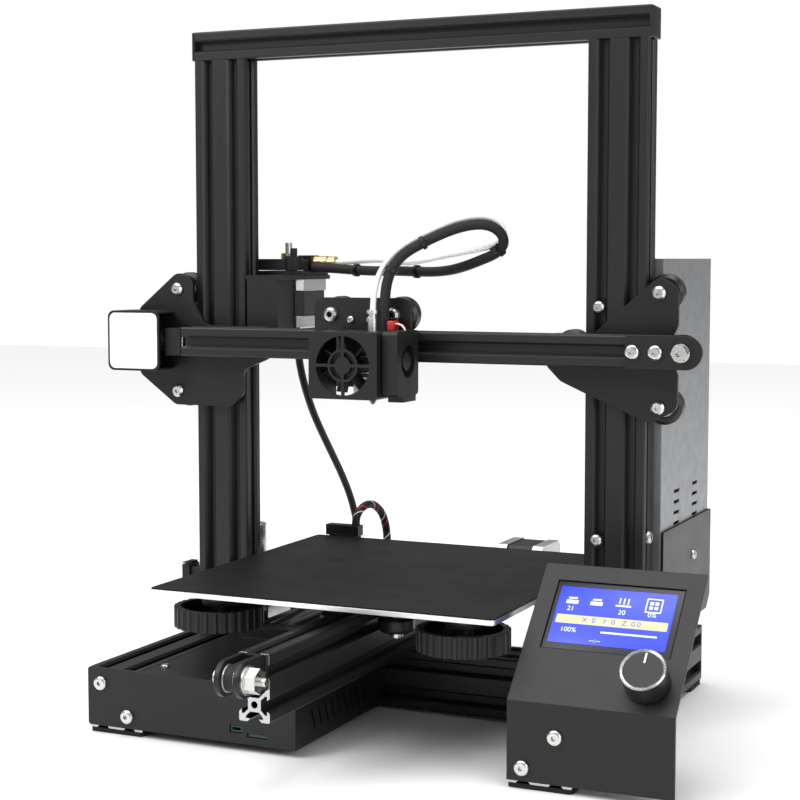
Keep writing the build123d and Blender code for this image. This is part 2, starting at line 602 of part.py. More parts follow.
def extruder_bracket():
    # Folded sheet: flange behind the gantry plate, wall running back, shelf over the motor, nut arm.
    flange = block(-121, BRACKET_X + PLATE, PLATE_BACK, PLATE_BACK + PLATE, 242, EXTRUDER_TOP + PLATE)
    flange -= rod("+Y", -INNER_WHEEL_X, PLATE_BACK - 1, BEAM_Z, 4.6, PLATE + 2)
    wall = block(BRACKET_X, BRACKET_X + PLATE, PLATE_BACK, 19, 251, EXTRUDER_TOP + PLATE)
    strut = block(BRACKET_X, BRACKET_X + PLATE, PLATE_BACK, 62, 251, 257)
    shelf = block(-134, -91, PLATE_BACK, 64, EXTRUDER_TOP, EXTRUDER_TOP + PLATE)
    shelf -= block(-140, -122, -10, 20.5, 250, 310)
    shelf -= rod("+Z", EXTRUDER_X, EXTRUDER_Y, EXTRUDER_TOP - 1, 11.3, PLATE + 2)
    arm = block(-158, BRACKET_X + PLATE, 24, 62, 251, 251 + PLATE)
    arm -= rod("+Z", SCREW_X, SCREW_Y, 250, 5.4, PLATE + 2)
    return flange + wall + strut + shelf + arm


def lead_nut():
    points = [(LEAD_R + 0.05, -10), (5.1, -10), (5.1, PLATE), (11, PLATE), (11, PLATE + 3),
              (LEAD_R + 0.05, PLATE + 3)]
    return turned(points, "+Z", SCREW_X, SCREW_Y, 251)


X_MOTOR_X = COVER_X0 + MOTOR_W / 2


def gantry_screws():
    pieces = []
    for x, z in gantry_wheel_places().values():
        head_r = HEAD_R if abs(x) > INNER_WHEEL_X else SLOT_HEAD_R
        pieces.append(axle("+Y", x, PLATE_FRONT, z, CELL / 2 - PLATE_FRONT, head_r))
    for x in (165.6, 180.3):
        pieces.append(button_screw("-Y", x, BEAM_Y - CELL / 2 - PLATE, BEAM_Z, PLATE + 1))
    pieces.append(x_tensioner_bolt())
    return pieces


def x_motor():
    body = motor("-Y", X_MOTOR_X, PLATE_BACK, BEAM_Z, 34, 0)
    shaft = rod("-Y", X_MOTOR_X, PLATE_BACK, BEAM_Z, MOTOR_SHAFT_R, 20)
    pulley = turned([(MOTOR_SHAFT_R, 8), (8, 8), (8, 9), (5.5, 9), (5.5, 17), (8, 17), (8, 18), (MOTOR_SHAFT_R, 18)],
                    "-Y", X_MOTOR_X, PLATE_BACK, BEAM_Z)
    return [body + shaft, pulley]


def x_motor_cover():
    front = -30.0
    x1 = COVER_X0 + MOTOR_W
    z0, z1 = BEAM_Z - MOTOR_W / 2, BEAM_Z + MOTOR_W / 2
    shell = block(COVER_X0, x1, front, PLATE_FRONT - 0.05, z0, z1)
    shell = fillet(shell.edges().filter_by(Axis.Y), 5.0)
    shell -= block(COVER_X0 + 2, x1 + 1, front + 2, PLATE_FRONT + 1, z0 + 2, z1 - 2)
    return shell


def x_switch():
    body = block(-176.5, -164, -24, PLATE_FRONT, 239, 258)
    lever = block(-163.6, -163.1, -23, -12, 241, 257) + block(-164, -163.1, -23, -12, 256.4, 257)
    return [body, lever]


def x_tensioner():
    front = BEAM_Y - CELL / 2 - PLATE
    z0, z1 = BEAM_Z - 10.4, BEAM_Z + 10.4
    cheek = block(161, 199, front, front + PLATE, z0, z1) + rod("+Y", 199, front, BEAM_Z, 10.4, PLATE)
    rear = rod("+Y", 192.5, -11, BEAM_Z, 10.4, 3) & block(192.5, 210, -12, -7, z0, z1)
    rear += block(BEAM_X1 + 0.3, 192.5, -11, PLATE_FRONT, z0, z1)
    bridge_top = block(BEAM_X1 + 0.3, 193, front + 1, -9, z1 - 2.5, z1)
    bridge_low = block(BEAM_X1 + 0.3, 193, front + 1, -9, z0, z0 + 2.5)
    body = cheek + rear + bridge_top + bridge_low
    for x in (165.6, 180.3, 196.5):
        body -= rod("+Y", x, front - 1, BEAM_Z, SHANK_R + 0.2 if x < 190 else 2.7, 30)
    idler = turned([(WHEEL_BORE_R, -4), (8, -4), (8, -3.2), (5.5, -3.2), (5.5, 3.2), (8, 3.2), (8, 4), (WHEEL_BORE_R, 4)],
                   "+Y", 196.5, BEAM_Y, BEAM_Z)
    return [body, idler]


def x_tensioner_bolt():
    front = BEAM_Y - CELL / 2 - PLATE
    bolt = rod("+Y", 196.5, front - 1.6, BEAM_Z, AXLE_R, -front + 1.6 - 8)
    nut = extrude(RegularPolygon(4.6, 6, major_radius=False), 4)
    bolt += along("-Y", 196.5, front - 1.6, BEAM_Z) * nut
    bolt += rod("+Y", 196.5, front - 1.6, BEAM_Z, 5.8, 1.6)
    return bolt - rod("+Y", 196.5, front - 6, BEAM_Z, 2.2, 3)


def extruder_motor():
    return motor("+Z", EXTRUDER_X, EXTRUDER_Y, EXTRUDER_TOP, EXTRUDER_TOP - 258, 26)


GEAR_R = 5.5
LEVER_AT = (EXTRUDER_X + 12.0, EXTRUDER_Y - 15.0)


def extruder_body():
    # Feed block on the shelf: floor, filament guide on the right with the tube fitting's seat.
    z0 = EXTRUDER_TOP + PLATE
    floor = block(EXTRUDER_X - 21, EXTRUDER_X + 21, EXTRUDER_Y - 21, EXTRUDER_Y + 21, z0, z0 + 3)
    guide = block(EXTRUDER_X + 7, TUBE_FACE_X, EXTRUDER_Y + 1, EXTRUDER_Y + 13, z0, z0 + 14)
    block_all = floor + guide
    block_all -= rod("+Z", EXTRUDER_X, EXTRUDER_Y, z0 - 1, 11.3, 6)
    block_all -= rod("+X", EXTRUDER_X, EXTRUDER_Y + 7, TUBE_Z, 1.1, 60)
    block_all -= rod("+X", TUBE_FACE_X - 5, EXTRUDER_Y + 7, TUBE_Z, 3.05, 10)
    post = rod("+Z", LEVER_AT[0], LEVER_AT[1], z0 + 3, 2.5, 16)
    return block_all + post


TUBE_Z = EXTRUDER_TOP + PLATE + 9.0
TUBE_FACE_X = EXTRUDER_X + 17.5
TUBE_R = 2.0


def tube_fittings():
    inlet = turned([(TUBE_R + 0.05, -4), (3, -4), (3, 0), (4.4, 0), (4.4, 10.5), (3.4, 10.5), (3.4, 12),
                    (4.2, 12), (4.2, 17), (TUBE_R + 0.05, 17)],
                   "+X", TUBE_FACE_X, EXTRUDER_Y + 7, TUBE_Z)
    return [inlet, lead_nut()]


def extruder_gear():
    z0 = EXTRUDER_TOP + PLATE + 4.5
    teeth = 24
    gear = rod("+Z", EXTRUDER_X, EXTRUDER_Y, z0, GEAR_R, 11)
    for i in range(teeth):
        a = 2 * math.pi * i / teeth
        gear -= rod("+Z", EXTRUDER_X + (GEAR_R + 0.3) * math.cos(a), EXTRUDER_Y + (GEAR_R + 0.3) * math.sin(a),
                    z0 + 2, 0.45, 7)
    return gear - rod("+Z", EXTRUDER_X, EXTRUDER_Y, z0 - 1, MOTOR_SHAFT_R + 0.05, 20)


def extruder_lever():
    # Idler arm that pivots on the block's post; its bearing stands off the filament gear.
    z0 = EXTRUDER_TOP + PLATE + 3.4
    arm = block(LEVER_AT[0] - 5, LEVER_AT[0] + 5, LEVER_AT[1] - 5, LEVER_AT[1] + 12, z0, z0 + 8)
    arm += block(LEVER_AT[0] - 42, LEVER_AT[0] - 2, LEVER_AT[1] - 5, LEVER_AT[1] + 2, z0, z0 + 8)
    arm += rod("+Z", LEVER_AT[0], LEVER_AT[1], z0, 6.5, 10)
    return arm - rod("+Z", LEVER_AT[0], LEVER_AT[1], z0 - 1, 2.55, 20)


# ---- print head ----
HEAD_FRONT = -75.0
SHROUD_X0, SHROUD_X1 = -36.5, 12.0
SHROUD_Z0, SHROUD_Z1 = 217.0, 260.0
FAN_X, FAN_Z = (SHROUD_X0 + SHROUD_X1) / 2, (SHROUD_Z0 + SHROUD_Z1) / 2
FAN_R = 19.0


def head_wheel_places():
    top = BEAM_Z + CELL / 2 + WHEEL_GAP
    low = BEAM_Z - CELL / 2 - WHEEL_GAP
    return {"head_upper_left": (HEAD_X - HEAD_WHEEL_X, top), "head_upper_right": (HEAD_X + HEAD_WHEEL_X, top),
            "head_lower": (HEAD_X, low)}


def carriage_plate():
    x0, x1 = HEAD_X - 35, HEAD_X + 35
    plate = plate_xz([(x0, 222), (x1, 222), (x1, 281), (x0, 281)], HEAD_PLATE_Y, PLATE, 7.0)
    pieces = []
    for x, z in head_wheel_places().values():
        plate -= rod("+Y", x, HEAD_PLATE_Y - PLATE - 1, z, AXLE_R + 0.1, PLATE + 2)
        pieces.append(axle("+Y", x, HEAD_PLATE_Y - PLATE, z, BEAM_Y - HEAD_PLATE_Y + PLATE))
    return [plate] + pieces


def fan_shroud():
    back = HEAD_PLATE_Y - PLATE - 4.2
    wall = 1.6
    shell = block(SHROUD_X0, SHROUD_X1, HEAD_FRONT, back, SHROUD_Z0, SHROUD_Z1)
    shell = fillet(shell.edges().filter_by(Axis.Y), 2.5)
    shell -= block(SHROUD_X0 + wall, SHROUD_X1 - wall, HEAD_FRONT + wall, back + 1, SHROUD_Z0 - 1, SHROUD_Z1 - wall)
    shell -= rod("+Y", FAN_X, HEAD_FRONT - 1, FAN_Z, FAN_R, wall + 2)
    shell -= rod("+Z", NOZZLE_X, NOZZLE_Y, SHROUD_Z1 - 5, 10.9, 3.4) + rod("+Z", NOZZLE_X, NOZZLE_Y, SHROUD_Z1 - 5, 5.6, 8)
    ring = rod("+Y", FAN_X, HEAD_FRONT, FAN_Z, 10.6, wall) - rod("+Y", FAN_X, HEAD_FRONT - 1, FAN_Z, 9.0, wall + 2)
    grille = ring
    for angle in (0, 90):
        spoke = Box(2 * FAN_R + 1, wall, 1.9)
        grille += Pos(FAN_X, HEAD_FRONT + wall / 2, FAN_Z) * Rot(0, angle, 0) * spoke
    hub = rod("+Y", FAN_X, HEAD_FRONT, FAN_Z, 5.6, wall)
    shell += grille
    lugs = block(SHROUD_X0 + 4, SHROUD_X0 + 9, back - 1, HEAD_PLATE_Y - PLATE, SHROUD_Z1 - 6, SHROUD_Z1 - wall)
    lugs += block(SHROUD_X1 - 9, SHROUD_X1 - 4, back - 1, HEAD_PLATE_Y - PLATE, SHROUD_Z1 - 6, SHROUD_Z1 - wall)
    shaft = rod("+Y", FAN_X, HEAD_FRONT + wall - 0.2, FAN_Z, 1.5, 14)
    return shell + hub + shaft + lugs


def fan_rotor():
    y0 = HEAD_FRONT + 3.0
    rotor = rod("+Y", FAN_X, y0, FAN_Z, 9.0, 9)
    blade = Box(9.5, 7.5, 1.0)
    for i in range(7):
        rotor += Pos(FAN_X, y0 + 4.5, FAN_Z) * Rot(0, i * 360 / 7, 0) * Pos(13, 0, 0) * Rot(38, 0, 0) * blade
    return rotor - rod("+Y", FAN_X, y0 - 1, FAN_Z, 1.55, 12)


def hotend():
    fins = [(0, 226), (4, 226), (4, 229)]
    for i in range(7):
        z = 229 + i * 3.6
        fins += [(10.5, z), (10.5, z + 1.4), (5, z + 1.4), (5, z + 3.6)]
    fins += [(10.5, 254.2), (10.5, 257), (3.2, 257), (3.2, 268), (2.6, 268), (2.6, 271), (3.9, 271), (3.9, 273.5),
             (TUBE_R + 0.05, 273.5), (TUBE_R + 0.05, 262), (0, 262)]
    sink = turned(fins, "+Z", NOZZLE_X, NOZZLE_Y, 0)
    heater = block(NOZZLE_X - 10, NOZZLE_X + 7, NOZZLE_Y - 8, NOZZLE_Y + 8, 217, 226)
    nozzle = turned([(0, 0), (0.6, 0), (3, 3), (3.4, 3), (3.4, 5), (0, 5)], "+Z", NOZZLE_X, NOZZLE_Y, NOZZLE_Z)
    return [sink + heater + nozzle]


def blower():
    # Part-cooling blower with a round intake towards +X and its outlet below.
    x0, x1 = SHROUD_X1 + 1.0, SHROUD_X1 + 11.5
    y0, y1 = HEAD_FRONT + 6, -36.0
    intake_y, intake_z, intake_r = -52.0, 241.0, 10.5
    case = block(x0, x1, y0, y1, 219, 260.7)
    case = fillet(case.edges().filter_by(Axis.X), 3.0)
    case += block(x0, x1, y0 + 9, y1 - 4, 215, 223)
    case -= rod("+X", x1 - 5, intake_y, intake_z, intake_r, 6)
    case += rod("+X", x1 - 6, intake_y, intake_z, 6.0, 5)
    return case


# ---- cords ----
LOOM_R, CABLE_R, BED_CABLE_R = 3.4, 2.8, 3.0
FEED_TUBE = [(NOZZLE_X, NOZZLE_Y, 264), (NOZZLE_X, NOZZLE_Y, 278), (-3.6, -43, 291.5), (-1, -38, 301),
             (4, -34.5, 308.5), (11, -31.5, 315), (20.5, -28, 320.5), (32, -25, 326.5), (45, -20.5, 332),
             (57.5, -15, 334), (65.5, -11, 332.6), (70.5, -8, 328.5), (71.8, -6.3, 322.6), (69, -5.8, 317),
             (60.5, -6.2, 314), (46, -6.8, 311.5), (28, -6, 308.5), (12, -3.5, 305.3), (-4, 9, 303.8),
             (-21, 23, 304.8), (-39, 34.5, 305.8), (-56, 44, 305), (-71, 49, 304), (TUBE_FACE_X + 10, 49, 304)]
LOOM = [(3, -44, 260.1), (3, -44, 271), (3.2, -43.4, 284), (4.5, -42, 294), (8, -40, 302.5),
        (13.5, -37.5, 309.5), (22, -34.5, 315), (34.5, -30, 321.5), (48, -25.5, 327), (60, -21, 329),
        (68, -17, 327.2), (73, -13, 321.8), (72.5, -10, 315), (66, -8, 309.6), (55, -6.3, 305.6),
        (41.5, 0, 301.6), (27.5, 8, 298.8), (12, 15, 297.6), (-3, 20, 297.8), (-19, 25, 298.2),
        (-35, 30, 298), (-51, 34, 298.3), (-66, 36.5, 299.2), (-79, 38, 300), (-91.5, 38.3, 300)]
GANTRY_CABLE = [(-120, 66.5, 258), (-120, 68, 243), (-120.5, 73, 226), (-121, 83, 208), (-122, 97, 190),
                (-122.5, 113, 173), (-123, 130, 156), (-123, 147, 138), (-122.5, 162, 118), (-122, 172, 96),
                (-121.5, 173, 74), (-120.5, 163, 57), (-118, 145, 48.5), (-115, 122, 46.5),
                (-112, 98, 47), (-109, 74, 48.5), (-107, 50, 49), (-105, 28, 48.5), (-104, 7, 47.5),
                (-104, -11, 47)]
BED_CABLE = [(-88, 99.8, BED_TOP + 8), (-88, 99.8, 111.5), (-87, 104, 117.5), (-85.5, 112, 120.5),
             (-84.5, 119, 120.5),
             (-83.5, 126, 118), (-82, 133.5, 112), (-81, 138, 103), (-80, 139, 92), (-79, 136, 80),
             (-78, 130, 69), (-77, 120, 60), (-76, 107, 54), (-75, 91, 50.5), (-74.5, 74, 49), (-74, 57, 48.5),
             (-74, 40, 48.8), (-74, 23, 48.3), (-74, 5, 47.5), (-74, -11, 47)]


# ---- frame screws ----
def frame_screws():
    pieces = []
    for x, z in PORT_SCREWS:
        pieces.append(button_screw("-Y", x, RAIL_Y0 - SHEET, z, SHEET + 6))
    for x, z in ((RAIL_X - CELL / 2, FOOT + CELL / 2), (RAIL_X + CELL / 2, RAIL_TOP - CELL / 2)):
        pieces.append(button_screw("-Y", x, RAIL_Y0 - SHEET, z, SHEET + 6))
    pieces.append(y_tensioner_bolt())
    return pieces


NODES = {
    "side_rails": side_rails, "rubber_feet": rubber_feet, "cross_beam": cross_beam, "y_rail": y_rail,
    "uprights": uprights, "top_bar": top_bar, "control_box": control_box, "mainboard": mainboard,
    "frame_screws": frame_screws, "lcd_bracket": lcd_bracket, "lcd_screen": lcd_screen,
    "lcd_knob": lcd_knob, "psu_case": psu_case, "psu_cover": psu_cover, "power_rocker": power_rocker,
    "z_motor": z_motor, "lead_screw": lead_screw,
    "y_tensioner": y_tensioner, "y_idler": y_idler, "y_motor": y_motor, "z_switch": z_switch,
    "bed_plate": bed_plate, "build_surface": build_surface, "bed_carriage": bed_carriage,
    "bed_screws": bed_screws, "bed_wheels": bed_wheels,
    "x_beam": x_beam, "gantry_plates": gantry_plates, "gantry_screws": gantry_screws,
    "x_motor": x_motor, "x_motor_cover": x_motor_cover, "x_switch": x_switch, "x_tensioner": x_tensioner,
    "extruder_motor": extruder_motor, "extruder_body": extruder_body, "tube_fittings": tube_fittings,
    "extruder_gear": extruder_gear, "extruder_lever": extruder_lever,
    "carriage_plate": carriage_plate, "fan_shroud": fan_shroud, "fan_rotor": fan_rotor, "hotend": hotend,
    "blower": blower,
}
for node, build in NODES.items():
    export(build(), node)

for name, (x, z) in gantry_wheel_places().items():
    export(wheel("+Y", x, CELL / 2, z), f"wheel_{name}")
for name, (x, z) in head_wheel_places().items():
    export(wheel("+Y", x, BEAM_Y, z), f"wheel_{name}")
for name, (x, y) in zip(("left_front", "left_back", "right_front", "right_back"), bed_corners()):
    export(bed_knob(x, y), f"bed_knob_{name}")

for name, points, radius in (("feed_tube", FEED_TUBE, TUBE_R), ("head_loom", LOOM, LOOM_R),
                             ("gantry_cable", GANTRY_CABLE, CABLE_R), ("bed_cable", BED_CABLE, BED_CABLE_R)):
    export(tube_along(points, radius, name), name)
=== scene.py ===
import json
import math
import bpy
from mathutils import Matrix, Vector


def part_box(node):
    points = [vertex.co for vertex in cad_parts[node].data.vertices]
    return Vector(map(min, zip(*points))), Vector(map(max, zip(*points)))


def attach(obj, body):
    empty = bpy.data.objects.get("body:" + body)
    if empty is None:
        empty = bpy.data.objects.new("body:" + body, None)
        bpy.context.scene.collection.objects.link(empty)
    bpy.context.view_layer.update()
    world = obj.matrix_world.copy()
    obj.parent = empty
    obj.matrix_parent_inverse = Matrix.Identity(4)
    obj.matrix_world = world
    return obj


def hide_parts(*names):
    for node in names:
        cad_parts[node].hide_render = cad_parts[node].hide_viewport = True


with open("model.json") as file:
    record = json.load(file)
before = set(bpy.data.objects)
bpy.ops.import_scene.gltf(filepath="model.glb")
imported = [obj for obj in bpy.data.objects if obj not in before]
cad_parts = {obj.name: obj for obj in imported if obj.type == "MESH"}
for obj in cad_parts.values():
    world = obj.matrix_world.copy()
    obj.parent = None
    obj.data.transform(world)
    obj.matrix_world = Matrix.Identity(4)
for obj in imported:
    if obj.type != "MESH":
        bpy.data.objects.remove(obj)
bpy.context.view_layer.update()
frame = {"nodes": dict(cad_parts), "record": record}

# ---- layout ----
# All lengths are metres. ZERO is the frame's own zero: midway between the uprights, on their front
# face, on the table. p(x, y, z) takes millimetres from there, which is how the machine is laid out.
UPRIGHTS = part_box("uprights")
ZERO = Vector(((UPRIGHTS[0][0] + UPRIGHTS[1][0]) / 2, UPRIGHTS[0][1], 0.0))
MM = 0.001
TAU = 2 * math.pi


def p(x, y, z):
    return ZERO + Vector((x, y, z)) * MM


def span(node):
    low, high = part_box(node)
    return Vector(low), Vector(high)


# ---- camera ----
camera_data = bpy.data.cameras.new("camera")
camera_data.sensor_width = 36.0
camera_data.lens = 77.7
camera = bpy.data.objects.new("camera", camera_data)
bpy.context.scene.collection.objects.link(camera)
camera.location = p(476.3, -1059.2, 306.4)
camera.rotation_euler = (math.radians(90.0 - 4.67), 0.0, math.radians(24.48))
bpy.context.scene.camera = camera


# ---- shader maths ----
class Value:
    # A number on its way through a node tree; the operators add Math nodes.
    def __init__(self, tree, socket):
        self.tree = tree
        self.socket = socket

    def math(self, operation, other=None, third=None):
        node = self.tree.nodes.new("ShaderNodeMath")
        node.operation = operation
        for slot, value in zip(node.inputs, (self, other, third)):
            if isinstance(value, Value):
                self.tree.links.new(value.socket, slot)
            elif value is not None:
                slot.default_value = value
        return Value(self.tree, node.outputs[0])

    def __add__(self, other):
        return self.math("ADD", other)

    def __sub__(self, other):
        return self.math("SUBTRACT", other)

    def __mul__(self, other):
        return self.math("MULTIPLY", other)

    def above(self, edge):
        return self.math("GREATER_THAN", edge)

    def below(self, edge):
        return self.math("LESS_THAN", edge)

    def clamp(self):
        result = self.math("ADD", 0.0)
        result.socket.node.use_clamp = True
        return result


class Material:
    # One Principled material with helpers for the textures that the machine's finishes need.
    def __init__(self, name, colour, roughness, metallic=0.0, coat=0.0, specular=0.5):
        self.material = bpy.data.materials.new(name)
        self.material.use_nodes = True
        self.tree = self.material.node_tree
        self.shader = self.tree.nodes["Principled BSDF"]
        self.colour = colour
        self.roughness = roughness
        self.shader.inputs["Base Color"].default_value = (*colour, 1.0)
        self.shader.inputs["Roughness"].default_value = roughness
        self.shader.inputs["Metallic"].default_value = metallic
        self.shader.inputs["Coat Weight"].default_value = coat
        self.shader.inputs["Specular IOR Level"].default_value = specular
        self.normal = None

    def new(self, kind):
        return self.tree.nodes.new(kind)

    def link(self, source, target):
        self.tree.links.new(source.socket if isinstance(source, Value) else source, target)

    def place(self, stretch=(1.0, 1.0, 1.0)):
        coordinates = self.new("ShaderNodeTexCoord")
        mapping = self.new("ShaderNodeMapping")
        mapping.inputs["Scale"].default_value = stretch
        self.link(coordinates.outputs["Object"], mapping.inputs["Vector"])
        return mapping.outputs[0]

    def axis(self, index, output="Object"):
        coordinates = self.new("ShaderNodeTexCoord")
        split = self.new("ShaderNodeSeparateXYZ")
        self.link(coordinates.outputs[output], split.inputs[0])
        return Value(self.tree, split.outputs[index])

    def noise(self, scale, stretch=(1.0, 1.0, 1.0), detail=4.0):
        node = self.new("ShaderNodeTexNoise")
        node.inputs["Scale"].default_value = scale
        node.inputs["Detail"].default_value = detail
        self.link(self.place(stretch), node.inputs["Vector"])
        return Value(self.tree, node.outputs[0])

    def cells(self, scale):
        node = self.new("ShaderNodeTexVoronoi")
        node.inputs["Scale"].default_value = scale
        self.link(self.place(), node.inputs["Vector"])
        return Value(self.tree, node.outputs["Distance"])

    def mix(self, mask, other):
        # Lay another colour over the present one where the mask is 1.
        node = self.new("ShaderNodeMix")
        node.data_type = "RGBA"
        self.link(mask, node.inputs[0])
        socket = self.shader.inputs["Base Color"]
        if socket.links:
            self.link(socket.links[0].from_socket, node.inputs[6])
        else:
            node.inputs[6].default_value = socket.default_value
        node.inputs[7].default_value = (*other, 1.0)
        self.link(node.outputs[2], socket)
        return self

    def vary(self, socket, source, low, high):
        node = self.new("ShaderNodeMapRange")
        node.inputs["To Min"].default_value = low
        node.inputs["To Max"].default_value = high
        self.link(source, node.inputs["Value"])
        self.link(node.outputs[0], self.shader.inputs[socket])
        return self

    def bump(self, source, height, strength=1.0):
        node = self.new("ShaderNodeBump")
        node.inputs["Distance"].default_value = height
        node.inputs["Strength"].default_value = strength
        self.link(source, node.inputs["Height"])
        if self.normal is not None:
            self.link(self.normal, node.inputs["Normal"])
        self.normal = node.outputs[0]
        self.link(self.normal, self.shader.inputs["Normal"])
        return self

    def soft_edges(self, radius):
        node = self.new("ShaderNodeBevel")
        node.samples = 4
        node.inputs["Radius"].default_value = radius
        self.normal = node.outputs[0]
        self.link(self.normal, self.shader.inputs["Normal"])
        return self


AXIS_STRETCH = {0: (0.03, 1.0, 1.0), 1: (1.0, 0.03, 1.0), 2: (1.0, 1.0, 0.03)}


def anodised(name, axis):
    # Black anodised extrusion: fine die lines along its length, saw-cut bare ends.
    m = Material(name, (0.0085, 0.0085, 0.0095), 0.4, metallic=0.0, specular=0.4)
    m.soft_edges(0.0004)
    lines = m.noise(900.0, AXIS_STRETCH[axis], 3.0)
    m.vary("Roughness", lines, 0.3, 0.52)
    m.bump(lines, 0.00006, 0.35)
    facing = m.axis(axis, "Normal").math("ABSOLUTE").above(0.98)
    m.mix(facing, (0.56, 0.57, 0.58))
    m.link(facing, m.shader.inputs["Metallic"])
    return m.material


def powder_coat(name, colour=(0.0075, 0.0075, 0.008)):
    # Satin powder coat on sheet steel: fine orange peel.
    m = Material(name, colour, 0.42, specular=0.35)
    m.soft_edges(0.0005)
    m.vary("Roughness", m.noise(60.0), 0.36, 0.5)
    m.bump(m.noise(1400.0, detail=2.0), 0.00005, 0.5)
    return m.material


def moulded(name, colour, roughness=0.45, grain=2600.0):
    m = Material(name, colour, roughness, specular=0.32)
    m.soft_edges(0.0004)
    m.vary("Roughness", m.noise(45.0), roughness - 0.06, roughness + 0.08)
    m.bump(m.noise(grain, detail=2.0), 0.00004, 0.45)
    return m.material


def plated(name, colour=(0.62, 0.61, 0.59), roughness=0.24):
    m = Material(name, colour, roughness, metallic=1.0)
    m.soft_edges(0.00025)
    m.vary("Roughness", m.noise(320.0), roughness - 0.07, roughness + 0.14)
    return m.material


def threaded(name, start, pitch):
    # Plated screw whose thread begins at a height above the coupler.
    m = Material(name, (0.6, 0.595, 0.58), 0.26, metallic=1.0)
    height = m.axis(2)
    ridges = (height * (TAU / pitch)).math("SINE") * height.above(start)
    m.bump(ridges, 0.0004, 0.8)
    m.vary("Roughness", m.noise(320.0), 0.2, 0.36)
    return m.material


def brushed(name, axis, colour, roughness=0.34):
    m = Material(name, colour, roughness, metallic=1.0)
    m.soft_edges(0.0004)
    lines = m.noise(1200.0, AXIS_STRETCH[axis], 3.0)
    m.vary("Roughness", lines, roughness - 0.1, roughness + 0.12)
    m.bump(lines, 0.00005, 0.3)
    return m.material


def galvanised(name):
    # Galvanised case of the power supply, with faint spangle and rolling marks.
    m = Material(name, (0.3, 0.305, 0.315), 0.4, metallic=0.9)
    m.soft_edges(0.0007)
    m.mix(m.cells(130.0).math("MULTIPLY", 0.9), (0.38, 0.388, 0.4))
    m.vary("Roughness", m.noise(90.0), 0.34, 0.56)
    m.bump(m.noise(700.0, (1.0, 1.0, 0.2)), 0.00004, 0.4)
    return m.material


MOTOR_CAP = 0.008


def motor_finish(node, axis):
    # Black laminated stepper body between bare cast end caps; face, shaft and pulley are bare too.
    low, high = MOTOR_SPAN[node]
    m = Material(node, (0.009, 0.009, 0.0095), 0.4, specular=0.4)
    m.soft_edges(0.0004)
    place = m.axis(axis)
    stack = place.above(low + MOTOR_CAP) * place.below(high - MOTOR_CAP)
    bare = stack.math("MULTIPLY", -1.0) + 1.0
    m.mix(bare, (0.58, 0.58, 0.59))
    m.link(bare, m.shader.inputs["Metallic"])
    wave = (place * (TAU / 0.0009)).math("SINE")
    m.bump(wave * stack, 0.00006, 0.5)
    m.vary("Roughness", m.noise(200.0), 0.3, 0.5)
    return m.material


def build_film(name):
    # Removable build surface: finely textured black film, slightly scuffed where it is used.
    m = Material(name, (0.005, 0.005, 0.0055), 0.5, specular=0.22)
    m.mix(m.noise(14.0, detail=6.0).math("MULTIPLY", 0.25), (0.012, 0.012, 0.0125))
    m.vary("Roughness", m.noise(38.0, detail=6.0), 0.4, 0.62)
    m.bump(m.noise(1900.0, detail=2.0), 0.00005, 0.6)
    return m.material


def wheel_finish(name, axis, centre):
    # Black acetal tyre round a steel bearing: the middle 7 mm is bright.
    m = Material(name, (0.010, 0.010, 0.0105), 0.33, specular=0.4)
    m.soft_edges(0.0003)
    m.bump(m.noise(1100.0), 0.00004, 0.3)
    others = [i for i in range(3) if i != axis]
    offsets = [m.axis(i) - centre[i] for i in others]
    distance = (offsets[0] * offsets[0] + offsets[1] * offsets[1]).math("SQRT")
    bearing = distance.below(0.0068)
    m.mix(bearing, (0.5, 0.5, 0.5))
    m.link(bearing, m.shader.inputs["Metallic"])
    return m.material


def braid(name, colour, scale):
    # Braided sleeve: crossed fine ribs.
    m = Material(name, colour, 0.62, specular=0.35)
    x, y, z = (m.axis(i) for i in range(3))
    one = ((x + y + z) * scale).math("SINE")
    two = ((x + y - z) * scale).math("SINE")
    weave = one * two
    m.mix(weave.math("MULTIPLY", 0.5).clamp(), tuple(min(1.0, c * 2.6) for c in colour))
    m.bump(weave, 0.0002, 0.6)
    return m.material


def plain(name, colour, roughness, metallic=0.0, coat=0.0):
    m = Material(name, colour, roughness, metallic, coat)
    m.vary("Roughness", m.noise(150.0), max(0.03, roughness - 0.05), roughness + 0.07)
    m.bump(m.noise(1500.0, detail=2.0), 0.00002, 0.3)
    return m.material


def glowing(name, colour, strength):
    m = Material(name, tuple(c * 0.4 for c in colour), 0.3)
    m.shader.inputs["Emission Color"].default_value = (*colour, 1.0)
    m.shader.inputs["Emission Strength"].default_value = strength
    return m.material


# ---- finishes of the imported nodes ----
def motor_span(axis, start, end):
    # Front and back of a motor body along its shaft.
    return (ZERO[axis] + start * MM, ZERO[axis] + end * MM)


MOTOR_SPAN = {
    "z_motor": motor_span(2, 46.2, 83.5),
    "extruder_motor": motor_span(2, 258, 292),
    "x_motor": motor_span(1, -5, 29),
    "y_motor": motor_span(0, 13, 49),
}
THREAD_START, THREAD_PITCH = 0.113, 0.002
BLACK_SHEET = powder_coat("black_sheet")
BLACK_PLASTIC = moulded("black_plastic", (0.009, 0.009, 0.0095))
BRIGHT = plated("bright_steel")
BRASS = plated("brass", (0.72, 0.52, 0.24), 0.28)
ALUMINIUM = brushed("machined_aluminium", 0, (0.68, 0.69, 0.71))
RUBBER = moulded("rubber", (0.008, 0.008, 0.008), 0.72, 900.0)
ALONG = [anodised(f"anodised_{letter}", index) for index, letter in enumerate("xyz")]

